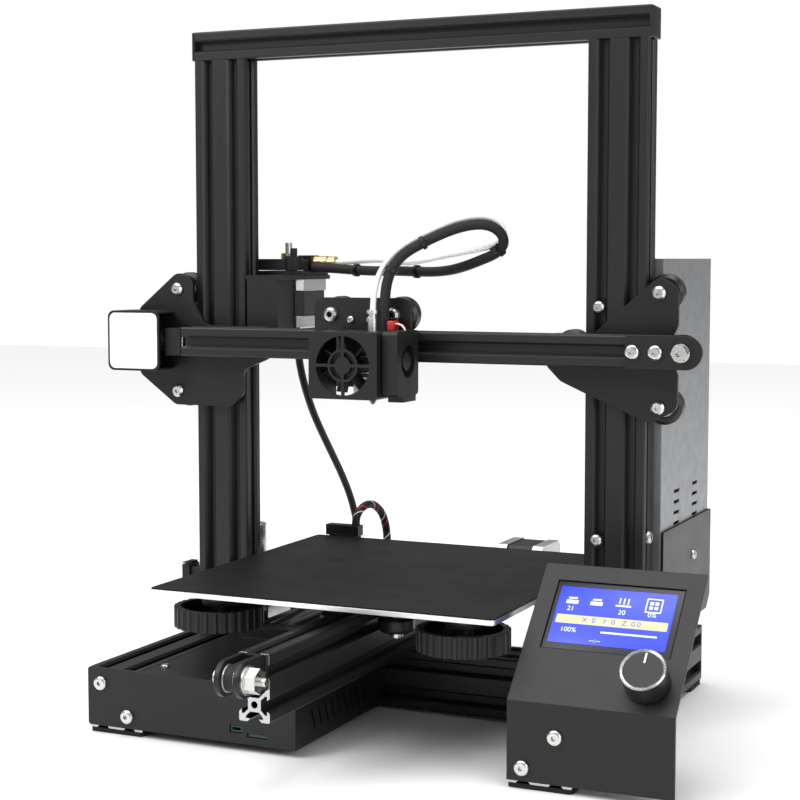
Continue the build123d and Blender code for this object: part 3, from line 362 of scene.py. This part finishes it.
FINISH = {
    "side_rails": ALONG[1], "y_rail": ALONG[1], "cross_beam": ALONG[0], "x_beam": ALONG[0],
    "top_bar": ALONG[0], "uprights": ALONG[2], "rubber_feet": RUBBER,
    "control_box": BLACK_SHEET, "lcd_bracket": BLACK_SHEET, "gantry_plates": BLACK_SHEET,
    "carriage_plate": BLACK_SHEET, "x_motor_cover": BLACK_SHEET, "fan_shroud": BLACK_SHEET,
    "bed_carriage": BLACK_SHEET, "y_tensioner": BLACK_SHEET, "x_tensioner": BLACK_SHEET,
    "psu_case": galvanised("psu_case"), "psu_cover": moulded("psu_cover", (0.014, 0.014, 0.015), 0.36),
    "power_rocker": moulded("rocker", (0.012, 0.012, 0.012), 0.3),
    "mainboard": plain("mainboard", (0.006, 0.045, 0.025), 0.45),
    "frame_screws": BRIGHT, "gantry_screws": BRIGHT, "bed_screws": BRIGHT,
    "lead_screw": threaded("lead_screw", THREAD_START, THREAD_PITCH),
    "z_switch": BLACK_PLASTIC, "x_switch": BLACK_PLASTIC, "blower": BLACK_PLASTIC,
    "fan_rotor": BLACK_PLASTIC, "extruder_body": BLACK_PLASTIC, "extruder_lever": BLACK_PLASTIC,
    "lcd_knob": moulded("lcd_knob", (0.012, 0.012, 0.013), 0.3),
    "lcd_screen": moulded("lcd_module", (0.006, 0.008, 0.05), 0.25),
    "bed_plate": brushed("bed_plate", 0, (0.78, 0.79, 0.8), 0.3),
    "build_surface": build_film("build_surface"),
    "tube_fittings": BRASS, "extruder_gear": BRASS, "hotend": ALUMINIUM, "y_idler": ALUMINIUM,
    "z_motor": motor_finish("z_motor", 2), "extruder_motor": motor_finish("extruder_motor", 2),
    "x_motor": motor_finish("x_motor", 1), "y_motor": motor_finish("y_motor", 0),
    "bed_wheels": moulded("bed_wheels", (0.010, 0.010, 0.0105), 0.34),
}


def node_names():
    return [name for nodes in frame["record"]["behaviour"]["bodies"].values() for name in nodes]


CORD_NODES = ("feed_tube", "head_loom", "gantry_cable", "bed_cable")
for node in node_names():
    if node in CORD_NODES:
        continue
    if node.startswith("wheel_"):
        low, high = span(node)
        FINISH[node] = wheel_finish(node, 1, (low + high) / 2)
    if node.startswith("bed_knob"):
        FINISH[node] = BLACK_PLASTIC
    target = frame["nodes"][node]
    for material_slot in target.material_slots:
        material_slot.material = FINISH[node]


# ---- mesh helpers ----
def finish_piece(obj, body, material, smooth=30.0):
    obj.data.materials.clear()
    obj.data.materials.append(material)
    if obj.type == "MESH" and smooth:
        bpy.ops.object.select_all(action="DESELECT")
        obj.select_set(True)
        bpy.context.view_layer.objects.active = obj
        bpy.ops.object.shade_smooth_by_angle(angle=math.radians(smooth))
    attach(obj, body)
    return obj


def apply_all(obj):
    bpy.ops.object.select_all(action="DESELECT")
    obj.select_set(True)
    bpy.context.view_layer.objects.active = obj
    bpy.ops.object.transform_apply(location=True, rotation=True, scale=True)
    for modifier in list(obj.modifiers):
        bpy.ops.object.modifier_apply(modifier=modifier.name)
    return obj


def bevelled_box(name, centre, size, radius, turn=(0.0, 0.0, 0.0), segments=3):
    bpy.ops.mesh.primitive_cube_add(size=1.0, location=centre, rotation=turn)
    obj = bpy.context.active_object
    obj.name = name
    obj.scale = size
    bpy.ops.object.transform_apply(location=False, rotation=False, scale=True)
    edge = obj.modifiers.new("edge", "BEVEL")
    edge.width = radius
    edge.segments = segments
    return apply_all(obj)


def rounded_plate(name, centre, width, height, corner, thickness, turn):
    # Flat plate with rounded corners, its thickness along its own Z.
    ring = []
    for sx, sy, start in ((1, 1, 0), (-1, 1, 90), (-1, -1, 180), (1, -1, 270)):
        for i in range(9):
            a = math.radians(start + 90 * i / 8)
            ring.append((sx * (width / 2 - corner) + corner * math.cos(a),
                         sy * (height / 2 - corner) + corner * math.sin(a)))
    count = len(ring)
    verts = [(x, y, z) for z in (0.0, thickness) for x, y in ring]
    faces = [tuple(range(count))[::-1], tuple(range(count, 2 * count))]
    faces += [(i, (i + 1) % count, count + (i + 1) % count, count + i) for i in range(count)]
    mesh = bpy.data.meshes.new(name)
    mesh.from_pydata(verts, [], faces)
    obj = bpy.data.objects.new(name, mesh)
    bpy.context.scene.collection.objects.link(obj)
    obj.location = centre
    obj.rotation_euler = turn
    return apply_all(obj)


def lathe(name, outline, centre, turn=(0.0, 0.0, 0.0), steps=48):
    # Closed solid of revolution about its own Z; the outline is (radius, height) pairs in metres.
    verts, faces = [], []
    count = len(outline)
    for i in range(steps):
        a = TAU * i / steps
        verts += [(r * math.cos(a), r * math.sin(a), h) for r, h in outline]
    for i in range(steps):
        j = (i + 1) % steps
        for k in range(count):
            m = (k + 1) % count
            faces.append((i * count + k, j * count + k, j * count + m, i * count + m))
    mesh = bpy.data.meshes.new(name)
    mesh.from_pydata(verts, [], faces)
    obj = bpy.data.objects.new(name, mesh)
    bpy.context.scene.collection.objects.link(obj)
    obj.location = centre
    obj.rotation_euler = turn
    bpy.ops.object.select_all(action="DESELECT")
    obj.select_set(True)
    bpy.context.view_layer.objects.active = obj
    bpy.ops.object.mode_set(mode="EDIT")
    bpy.ops.mesh.select_all(action="SELECT")
    bpy.ops.mesh.remove_doubles(threshold=1e-7)
    bpy.ops.mesh.normals_make_consistent(inside=False)
    bpy.ops.object.mode_set(mode="OBJECT")
    return apply_all(obj)


def wire(name, points, radius):
    # Round wire through the points, turned into a mesh.
    data = bpy.data.curves.new(name, "CURVE")
    data.dimensions = "3D"
    data.bevel_depth = radius
    data.bevel_resolution = 3
    data.use_fill_caps = True
    spline = data.splines.new("POLY")
    spline.points.add(len(points) - 1)
    for point, place in zip(spline.points, points):
        point.co = (*place, 1.0)
    obj = bpy.data.objects.new(name, data)
    bpy.context.scene.collection.objects.link(obj)
    mesh = bpy.data.meshes.new_from_object(obj.evaluated_get(bpy.context.evaluated_depsgraph_get()))
    bpy.data.objects.remove(obj)
    solid = bpy.data.objects.new(name, mesh)
    bpy.context.scene.collection.objects.link(solid)
    return solid


# ---- cords ----
def cord(name, points, radius, body, material):
    # One free cord on the route that its packed tube follows.
    data = bpy.data.curves.new(name, "CURVE")
    data.dimensions = "3D"
    data.bevel_depth = radius * MM
    data.bevel_resolution = 5
    data.resolution_u = 10
    data.use_fill_caps = True
    spline = data.splines.new("NURBS")
    spline.points.add(len(points) - 1)
    for point, place in zip(spline.points, points):
        point.co = (*p(*place), 1.0)
    spline.order_u = 3
    spline.use_endpoint_u = True
    obj = bpy.data.objects.new(name + "_cord", data)
    bpy.context.scene.collection.objects.link(obj)
    data.materials.append(material)
    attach(obj, body)
    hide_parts(name)
    line = route(obj)
    length = sum((b - a).length for a, b in zip(line, line[1:]))
    return obj, line, length


def route(obj):
    # The cord's centre line, read back from its spline.
    bare = obj.data.copy()
    bare.bevel_depth = 0.0
    probe = bpy.data.objects.new("probe", bare)
    bpy.context.scene.collection.objects.link(probe)
    mesh = bpy.data.meshes.new_from_object(probe.evaluated_get(bpy.context.evaluated_depsgraph_get()))
    line = [v.co.copy() for v in mesh.vertices]
    bpy.data.objects.remove(probe)
    return line


FEED_TUBE = [(-4, -47, 264), (-4, -47, 278), (-3.6, -43, 291.5), (-1, -38, 301),
             (4, -34.5, 308.5), (11, -31.5, 315), (20.5, -28, 320.5), (32, -25, 326.5), (45, -20.5, 332),
             (57.5, -15, 334), (65.5, -11, 332.6), (70.5, -8, 328.5), (71.8, -6.3, 322.6), (69, -5.8, 317),
             (60.5, -6.2, 314), (46, -6.8, 311.5), (28, -6, 308.5), (12, -3.5, 305.3), (-4, 9, 303.8),
             (-21, 23, 304.8), (-39, 34.5, 305.8), (-56, 44, 305), (-71, 49, 304), (-85.5, 49, 304)]
LOOM = [(3, -44, 260.1), (3, -44, 271), (3.2, -43.4, 284), (4.5, -42, 294), (8, -40, 302.5),
        (13.5, -37.5, 309.5), (22, -34.5, 315), (34.5, -30, 321.5), (48, -25.5, 327), (60, -21, 329),
        (68, -17, 327.2), (73, -13, 321.8), (72.5, -10, 315), (66, -8, 309.6), (55, -6.3, 305.6),
        (41.5, 0, 301.6), (27.5, 8, 298.8), (12, 15, 297.6), (-3, 20, 297.8), (-19, 25, 298.2),
        (-35, 30, 298), (-51, 34, 298.3), (-66, 36.5, 299.2), (-79, 38, 300), (-91.5, 38.3, 300)]
GANTRY_CABLE = [(-120, 66.5, 258), (-120, 68, 243), (-120.5, 73, 226), (-121, 83, 208), (-122, 97, 190),
                (-122.5, 113, 173), (-123, 130, 156), (-123, 147, 138), (-122.5, 162, 118), (-122, 172, 96),
                (-121.5, 173, 74), (-120.5, 163, 57), (-118, 145, 48.5), (-115, 122, 46.5),
                (-112, 98, 47), (-109, 74, 48.5), (-107, 50, 49), (-105, 28, 48.5), (-104, 7, 47.5),
                (-104, -11, 47)]
BED_CABLE = [(-88, 99.8, 106.5), (-88, 99.8, 111.5), (-87, 104, 117.5), (-85.5, 112, 120.5),
             (-84.5, 119, 120.5),
             (-83.5, 126, 118), (-82, 133.5, 112), (-81, 138, 103), (-80, 139, 92), (-79, 136, 80),
             (-78, 130, 69), (-77, 120, 60), (-76, 107, 54), (-75, 91, 50.5), (-74.5, 74, 49), (-74, 57, 48.5),
             (-74, 40, 48.8), (-74, 23, 48.3), (-74, 5, 47.5), (-74, -11, 47)]
CABLE_BLACK = moulded("cable_black", (0.009, 0.009, 0.0095), 0.5, 1200.0)
TUBE_WHITE = plain("tube_white", (0.84, 0.84, 0.8), 0.3, coat=0.3)
SLEEVE = braid("loom_sleeve", (0.009, 0.009, 0.0095), 4200.0)


def declare(obj, line, length):
    # Reads the cord's first point and does nothing more with it; every one of them ends on the machine and is
    # drawn taut.
    tuple(line[0])


def along_line(line, fraction):
    # Point and direction a given part of the way along a polyline.
    lengths = [(b - a).length for a, b in zip(line, line[1:])]
    left = fraction * sum(lengths)
    for a, b, step in zip(line, line[1:], lengths):
        if left <= step:
            return a.lerp(b, left / step), (b - a).normalized()
        left -= step
    return line[-1], (line[-1] - line[-2]).normalized()


def zip_tie(name, line, fraction, radius, body):
    # Nylon tie pulled round the loom, with its square head.
    place, direction = along_line(line, fraction)
    facing = direction.to_track_quat("Z", "Y")
    turn = facing.to_euler()
    outer, half = radius + 0.0011, 0.0013
    band = lathe(name, [(radius, -half), (outer, -half), (outer, half), (radius, half)], place, turn, 32)
    beside = place + facing @ Vector((outer + 0.0012, 0, 0))
    head = bevelled_box(name + "_head", beside, (0.0034, 0.0042, 0.0036), 0.0005, turn)
    return [finish_piece(band, body, CABLE_BLACK), finish_piece(head, body, CABLE_BLACK)]


def spiral(name, line, radius, turns, thickness, phase, body, material):
    # Thin strand wound round a cord's centre line.
    points = []
    side = Vector((1.0, 0.0, 0.0))
    steps = turns * 16
    for i in range(steps + 1):
        place, direction = along_line(line, 0.004 + 0.992 * i / steps)
        side = (side - side.dot(direction) * direction).normalized()
        other = direction.cross(side)
        a = TAU * turns * i / steps + phase
        points.append(place + radius * (side * math.cos(a) + other * math.sin(a)))
    return finish_piece(wire(name, points, thickness), body, material)


tube, tube_line, tube_length = cord("feed_tube", FEED_TUBE, 2.0, "gantry", TUBE_WHITE)
declare(tube, tube_line, tube_length)

loom, loom_line, loom_length = cord("head_loom", LOOM, 3.4, "gantry", SLEEVE)
ties = []
for index, fraction in enumerate((0.13, 0.22, 0.44, 0.7, 0.88)):
    ties += zip_tie(f"loom_tie_{index}", loom_line, fraction, 0.0034, "gantry")
declare(loom, loom_line, loom_length)

lead, lead_line, lead_length = cord("gantry_cable", GANTRY_CABLE, 2.8, "frame", CABLE_BLACK)
declare(lead, lead_line, lead_length)

bundle, bundle_line, bundle_length = cord("bed_cable", BED_CABLE, 3.0, "frame", CABLE_BLACK)
WIRE_RED = plain("wire_red", (0.55, 0.02, 0.02), 0.4)
WIRE_WHITE = plain("wire_white", (0.75, 0.75, 0.72), 0.4)
strands = [spiral("bed_wire_red", bundle_line, 0.0024, 14, 0.00075, 0.0, "frame", WIRE_RED),
           spiral("bed_wire_white", bundle_line, 0.0024, 14, 0.00075, 2.1, "frame", WIRE_WHITE)]
declare(bundle, bundle_line, bundle_length)


# ---- end caps of the slotted profiles ----
# Moulded caps pressed into the open ends of the top bar and of the side rails' back ends.
low, high = span("top_bar")
middle_y, middle_z = (low.y + high.y) / 2, (low.z + high.z) / 2
for side, x in (("left", low.x - 0.001), ("right", high.x + 0.001)):
    cap = bevelled_box(f"top_cap_{side}", (x, middle_y, middle_z), (0.002, 0.0198, 0.0198), 0.0008)
    finish_piece(cap, "frame", BLACK_PLASTIC)
low, high = span("side_rails")
for side, x in (("left", low.x + 0.02), ("right", high.x - 0.02)):
    cap = bevelled_box(f"rail_cap_{side}", (x, high.y + 0.001, (low.z + high.z) / 2), (0.0398, 0.002, 0.0398),
                       0.0008)
    finish_piece(cap, "frame", BLACK_PLASTIC)


# ---- toothed belts ----
def belt(name, path_points, width_axis, width, body):
    # Closed toothed belt round two pulleys: a ribbon with teeth on its inner side.
    pitch, tooth = 0.002, 0.0007
    total = sum((b - a).length for a, b in zip(path_points, path_points[1:] + path_points[:1]))
    count = int(total / pitch) * 2
    closed = path_points + [path_points[0]]
    centre = sum(path_points, Vector()) / len(path_points)
    wide = Vector([1.0 if i == width_axis else 0.0 for i in range(3)])
    verts, faces = [], []
    for i in range(count):
        place, direction = along_line(closed, i / count)
        out = direction.cross(wide)
        if out.dot(place - centre) < 0:
            out = -out
        inner = tooth if i % 2 else 0.0
        for side in (-0.5, 0.5):
            verts.append(place + out * 0.0007 + wide * width * side)
            verts.append(place - out * inner + wide * width * side)
    for i in range(count):
        a, b = i * 4, ((i + 1) % count) * 4
        for k, m in ((0, 1), (1, 3), (3, 2), (2, 0)):
            faces.append((a + k, b + k, b + m, a + m))
    mesh = bpy.data.meshes.new(name)
    mesh.from_pydata(verts, [], faces)
    obj = bpy.data.objects.new(name, mesh)
    bpy.context.scene.collection.objects.link(obj)
    return finish_piece(obj, body, BELT, 0)


def stadium(first, last, radius, across, up):
    # Path round two equal pulleys whose axes are normal to across and up.
    points = []
    for middle, start in ((last, -90), (first, 90)):
        for i in range(13):
            a = math.radians(start + 180 * i / 12)
            points.append(middle + across * radius * math.cos(a) + up * radius * math.sin(a))
    return points


BELT = moulded("belt", (0.014, 0.014, 0.014), 0.65, 900.0)
X, Y, Z = Vector((1, 0, 0)), Vector((0, 1, 0)), Vector((0, 0, 1))
BELT_WIDTH = 0.006
belt("x_belt", stadium(p(-198.85, -18, 249), p(196.5, -18, 249), 0.0062, X, Z), 1, BELT_WIDTH, "gantry")
belt("y_belt", stadium(p(0, -235.6, 73), p(0, 152, 73), 0.0067, Y, Z), 0, BELT_WIDTH, "frame")


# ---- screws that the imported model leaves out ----
def cap_screw(name, place, outward, body, radius=0.0045, height=0.0026):
    # Button-head screw with a hexagon socket.
    outline = [(0.0, 0.0), (radius, 0.0), (radius, height * 0.25), (radius * 0.86, height * 0.75),
               (radius * 0.62, height), (radius * 0.4, height), (radius * 0.38, height * 0.3),
               (0.0, height * 0.3)]
    turn = outward.to_track_quat("Z", "Y").to_euler()
    return finish_piece(lathe(name, outline, place, turn, 24), body, BRIGHT)


cap_screw("psu_screw_upper", p(165.0, 10, 127.5), X, "frame")
cap_screw("psu_cover_screw", p(172.0, 96.7, 103.4), X, "frame", 0.0035, 0.002)
cap_screw("box_lid_screw", p(-119, -119, 43.0), Z, "frame", 0.003, 0.0016)
cap_screw("carriage_screw_left", p(-26, -34, 266.5), -Y, "carriage", 0.0026, 0.0018)
cap_screw("carriage_screw_right", p(-12, -34, 266.5), -Y, "carriage", 0.0026, 0.0018)
for index, x in enumerate((-40.5, 4.5)):
    cap_screw(f"carriage_axle_head_{index}", p(x, -34, 269.75), -Y, "carriage", 0.0052, 0.0033)
for index, (x, z) in enumerate(((134.0, 275.7), (133.7, 125.1))):
    cap_screw(f"upright_screw_{index}", p(x, 0, z), -Y, "frame", 0.0042, 0.0026)


# ---- small bright and coloured parts at the head and the limit switch ----
lever = bevelled_box("switch_lever", p(-163.0, -17.5, 249), (0.0008, 0.0115, 0.0165), 0.0002)
finish_piece(lever, "gantry", BRIGHT)
plug = bevelled_box("fan_plug", p(9.5, -45.0, 263.4), (0.0045, 0.009, 0.0062), 0.0006)
finish_piece(plug, "carriage", WIRE_RED)
for index, (material, lift) in enumerate(((WIRE_RED, 0.0), (WIRE_WHITE, 1.4))):
    path = [p(11.7, -45.0 - lift, 264.5), p(14.0, -45.6 - lift, 264.7), p(17.0, -46.5 - lift, 263.8),
            p(19.0, -47.0 - lift, 262.0), p(19.6, -47.2 - lift, 260.5)]
    finish_piece(wire(f"fan_wire_{index}", path, 0.0006), "carriage", material)


# ---- blank label on the X motor's cover ----
LABEL_SIDE, LABEL_CORNER, LABEL_THICKNESS = 0.0392, 0.0045, 0.0003
low, high = span("x_motor_cover")
label_place = ((low.x + high.x) / 2, low.y + 0.0001, (low.z + high.z) / 2)
label = rounded_plate("motor_label", label_place, LABEL_SIDE, LABEL_SIDE, LABEL_CORNER, LABEL_THICKNESS,
                      (math.radians(90), 0.0, 0.0))
finish_piece(label, "gantry", plain("label_white", (0.8, 0.8, 0.79), 0.5))


# ---- screen picture and knob ----
LEAN = Vector((0.0, 68.2, 69.0)).normalized()       # up the leaning panel
FACE = Vector((0.0, -69.0, 68.2)).normalized()      # out of its face
PANEL_TURN = Matrix((X, LEAN, FACE)).transposed().to_euler()


def on_panel(x, s, lift):
    return p(x, -139.5, 52.3) + (LEAN * s + FACE * lift) * MM


def panel_piece(name, x, s, lift, size, radius, material):
    obj = bevelled_box(name, on_panel(x, s, lift), [v * MM for v in size], radius * MM, PANEL_TURN, 2)
    return finish_piece(obj, "frame", material)


def words(name, text, x, s, height, material):
    # Raised glyphs of the display, as a solid text mesh.
    data = bpy.data.curves.new(name, "FONT")
    data.body = text
    data.size = height * MM
    data.extrude = 0.00006
    data.align_x = "CENTER"
    data.align_y = "CENTER"
    obj = bpy.data.objects.new(name, data)
    bpy.context.scene.collection.objects.link(obj)
    mesh = bpy.data.meshes.new_from_object(obj.evaluated_get(bpy.context.evaluated_depsgraph_get()))
    bpy.data.objects.remove(obj)
    solid = bpy.data.objects.new(name, mesh)
    bpy.context.scene.collection.objects.link(solid)
    solid.location = on_panel(x, s, GLYPH_LIFT)
    solid.rotation_euler = PANEL_TURN
    return finish_piece(apply_all(solid), "frame", material, 0)


SCREEN_BLUE = glowing("screen_blue", (0.008, 0.034, 1.0), 1.0)
GLYPH = glowing("screen_glyph", (0.72, 0.82, 1.0), 0.9)
GLYPH_BAR = glowing("screen_bar", (0.62, 0.6, 0.3), 0.9)
BEZEL = moulded("bezel", (0.012, 0.012, 0.013), 0.3)
panel_piece("screen_bezel", 175.5, 61.2, -1.0, (77.5, 47.0, 0.6), 0.2, BEZEL)
panel_piece("screen_picture", 174.8, 61.8, -0.75, (71.5, 39.5, 0.4), 0.15, SCREEN_BLUE)
GLYPH_LIFT, GLYPH_T = -0.5, 0.12
# Status row: nozzle, bed and fan symbols with their values.
for index, x in enumerate((148.0, 163.0)):
    panel_piece(f"glyph_heater_{index}", x, 73.5, GLYPH_LIFT, (5.5, 1.2, GLYPH_T), 0.04, GLYPH)
    panel_piece(f"glyph_block_{index}", x, 70.8, GLYPH_LIFT, (7.5, 2.6, GLYPH_T), 0.04, GLYPH)
for index in range(3):
    x = 177.0 + index * 2.6
    panel_piece(f"glyph_heat_{index}", x, 74.0, GLYPH_LIFT, (0.9, 4.2, GLYPH_T), 0.04, GLYPH)
panel_piece("glyph_bed", 179.6, 70.6, GLYPH_LIFT, (9.5, 1.2, GLYPH_T), 0.04, GLYPH)
FAN_X, FAN_S, FAN_HALF, FAN_BLADE = 198.0, 72.5, 4.6, 2.2
for index in range(4):
    a = math.radians(90 * index)
    x, up = FAN_X + FAN_HALF * math.cos(a), FAN_S + FAN_HALF * math.sin(a)
    across = (9.6, 0.8, GLYPH_T) if index % 2 else (0.8, 9.6, GLYPH_T)
    panel_piece(f"glyph_frame_{index}", x, up, GLYPH_LIFT, across, 0.04, GLYPH)
    a += math.radians(45)
    x, up = FAN_X + FAN_BLADE * math.cos(a), FAN_S + FAN_BLADE * math.sin(a)
    panel_piece(f"glyph_fan_{index}", x, up, GLYPH_LIFT, (FAN_BLADE, FAN_BLADE, GLYPH_T), 0.04, GLYPH)
words("value_nozzle", "21", 148.0, 66.0, 4.6, GLYPH)
words("value_bed", "20", 179.6, 66.0, 4.6, GLYPH)
words("value_fan", "0%", 198.0, 66.0, 4.6, GLYPH)
panel_piece("glyph_bar", 174.8, 58.6, GLYPH_LIFT, (68.0, 6.0, GLYPH_T), 0.05, GLYPH_BAR)
words("value_position", "X  0   Y  0   Z  0.0", 174.8, 58.6, 4.8, SCREEN_BLUE).location = FACE * 0.0001
words("value_feed", "100%", 150.0, 51.2, 4.6, GLYPH)
panel_piece("glyph_progress", 187.0, 51.2, GLYPH_LIFT, (34.0, 1.2, GLYPH_T), 0.04, GLYPH)
words("value_ready", "--:--", 168.0, 45.2, 4.6, GLYPH)

RIM_OUTLINE = [(0.0118, 0.0), (0.0134, 0.0), (0.0136, 0.0008), (0.0128, 0.0014), (0.0116, 0.0008)]
knob_rim = lathe("knob_rim", RIM_OUTLINE, on_panel(205.5, 19.8, 14.3), PANEL_TURN, 64)
finish_piece(knob_rim, "lcd_knob", BRIGHT)
MARK_SIZE = (0.0011, 0.0065, 0.0003)
index_mark = bevelled_box("knob_mark", on_panel(205.5, 27.5, 15.05), MARK_SIZE, 0.0001, PANEL_TURN, 2)
finish_piece(index_mark, "lcd_knob", plain("mark_white", (0.85, 0.85, 0.85), 0.4))


# ---- levelling springs ----
COIL_STEPS = 20


def coil(name, x, y, z0, z1, radius, turns, body):
    points = []
    steps = turns * COIL_STEPS
    for i in range(steps + 1):
        a = TAU * i / COIL_STEPS
        points.append(p(x + radius * math.cos(a), y + radius * math.sin(a), z0 + (z1 - z0) * i / steps))
    return finish_piece(wire(name, points, 0.0006), body, BRIGHT)


for index, (sx, sy) in enumerate(((-1, -1), (-1, 1), (1, -1), (1, 1))):
    coil(f"bed_spring_{index}", sx * 85, -22.5 + sy * 85, 88.8, 93.8, 5.0, 3, "bed")


# ---- room ----
def area_light(name, place, aim, size, power):
    data = bpy.data.lights.new(name, "AREA")
    data.shape = "DISK"
    data.size = size
    data.energy = power
    obj = bpy.data.objects.new(name, data)
    bpy.context.scene.collection.objects.link(obj)
    obj.location = place
    obj.rotation_euler = (Vector(aim) - Vector(place)).to_track_quat("-Z", "Y").to_euler()


bpy.ops.mesh.primitive_plane_add(size=8.0, location=(0, 0, 0))
floor = bpy.context.active_object
floor.name = "floor"
floor.data.materials.append(plain("floor", (0.86, 0.86, 0.86), 0.6))
world = bpy.data.worlds.new("studio")
bpy.context.scene.world = world
world.use_nodes = True
# The camera sees a white surround, which lights the machine only weakly.
seen = world.node_tree.nodes["Background"]
seen.inputs["Strength"].default_value = 1.0
seen.inputs["Color"].default_value = (1.0, 1.0, 1.0, 1.0)
lighting = world.node_tree.nodes.new("ShaderNodeBackground")
lighting.inputs["Strength"].default_value = 0.3
lighting.inputs["Color"].default_value = (1.0, 1.0, 1.0, 1.0)
rays = world.node_tree.nodes.new("ShaderNodeLightPath")
choose = world.node_tree.nodes.new("ShaderNodeMixShader")
world.node_tree.links.new(rays.outputs["Is Camera Ray"], choose.inputs[0])
world.node_tree.links.new(lighting.outputs[0], choose.inputs[1])
world.node_tree.links.new(seen.outputs[0], choose.inputs[2])
world.node_tree.links.new(choose.outputs[0], world.node_tree.nodes["World Output"].inputs[0])
area_light("key", (-1.3, -1.7, 1.6), (0, 0, 0.2), 1.2, 26.0)
area_light("fill", (1.9, -1.0, 0.9), (0, 0, 0.2), 1.4, 18.0)
area_light("top", (0.2, 0.3, 2.1), (0, 0, 0.2), 1.6, 14.0)
overhead = bpy.data.objects.new("overhead", bpy.data.lights.new("overhead", "SUN"))
overhead.data.energy = 2.7
overhead.data.angle = math.radians(70)
overhead.rotation_euler = (math.radians(12), math.radians(-10), 0.0)
bpy.context.scene.collection.objects.link(overhead)
bpy.context.scene.view_settings.view_transform = "Standard"
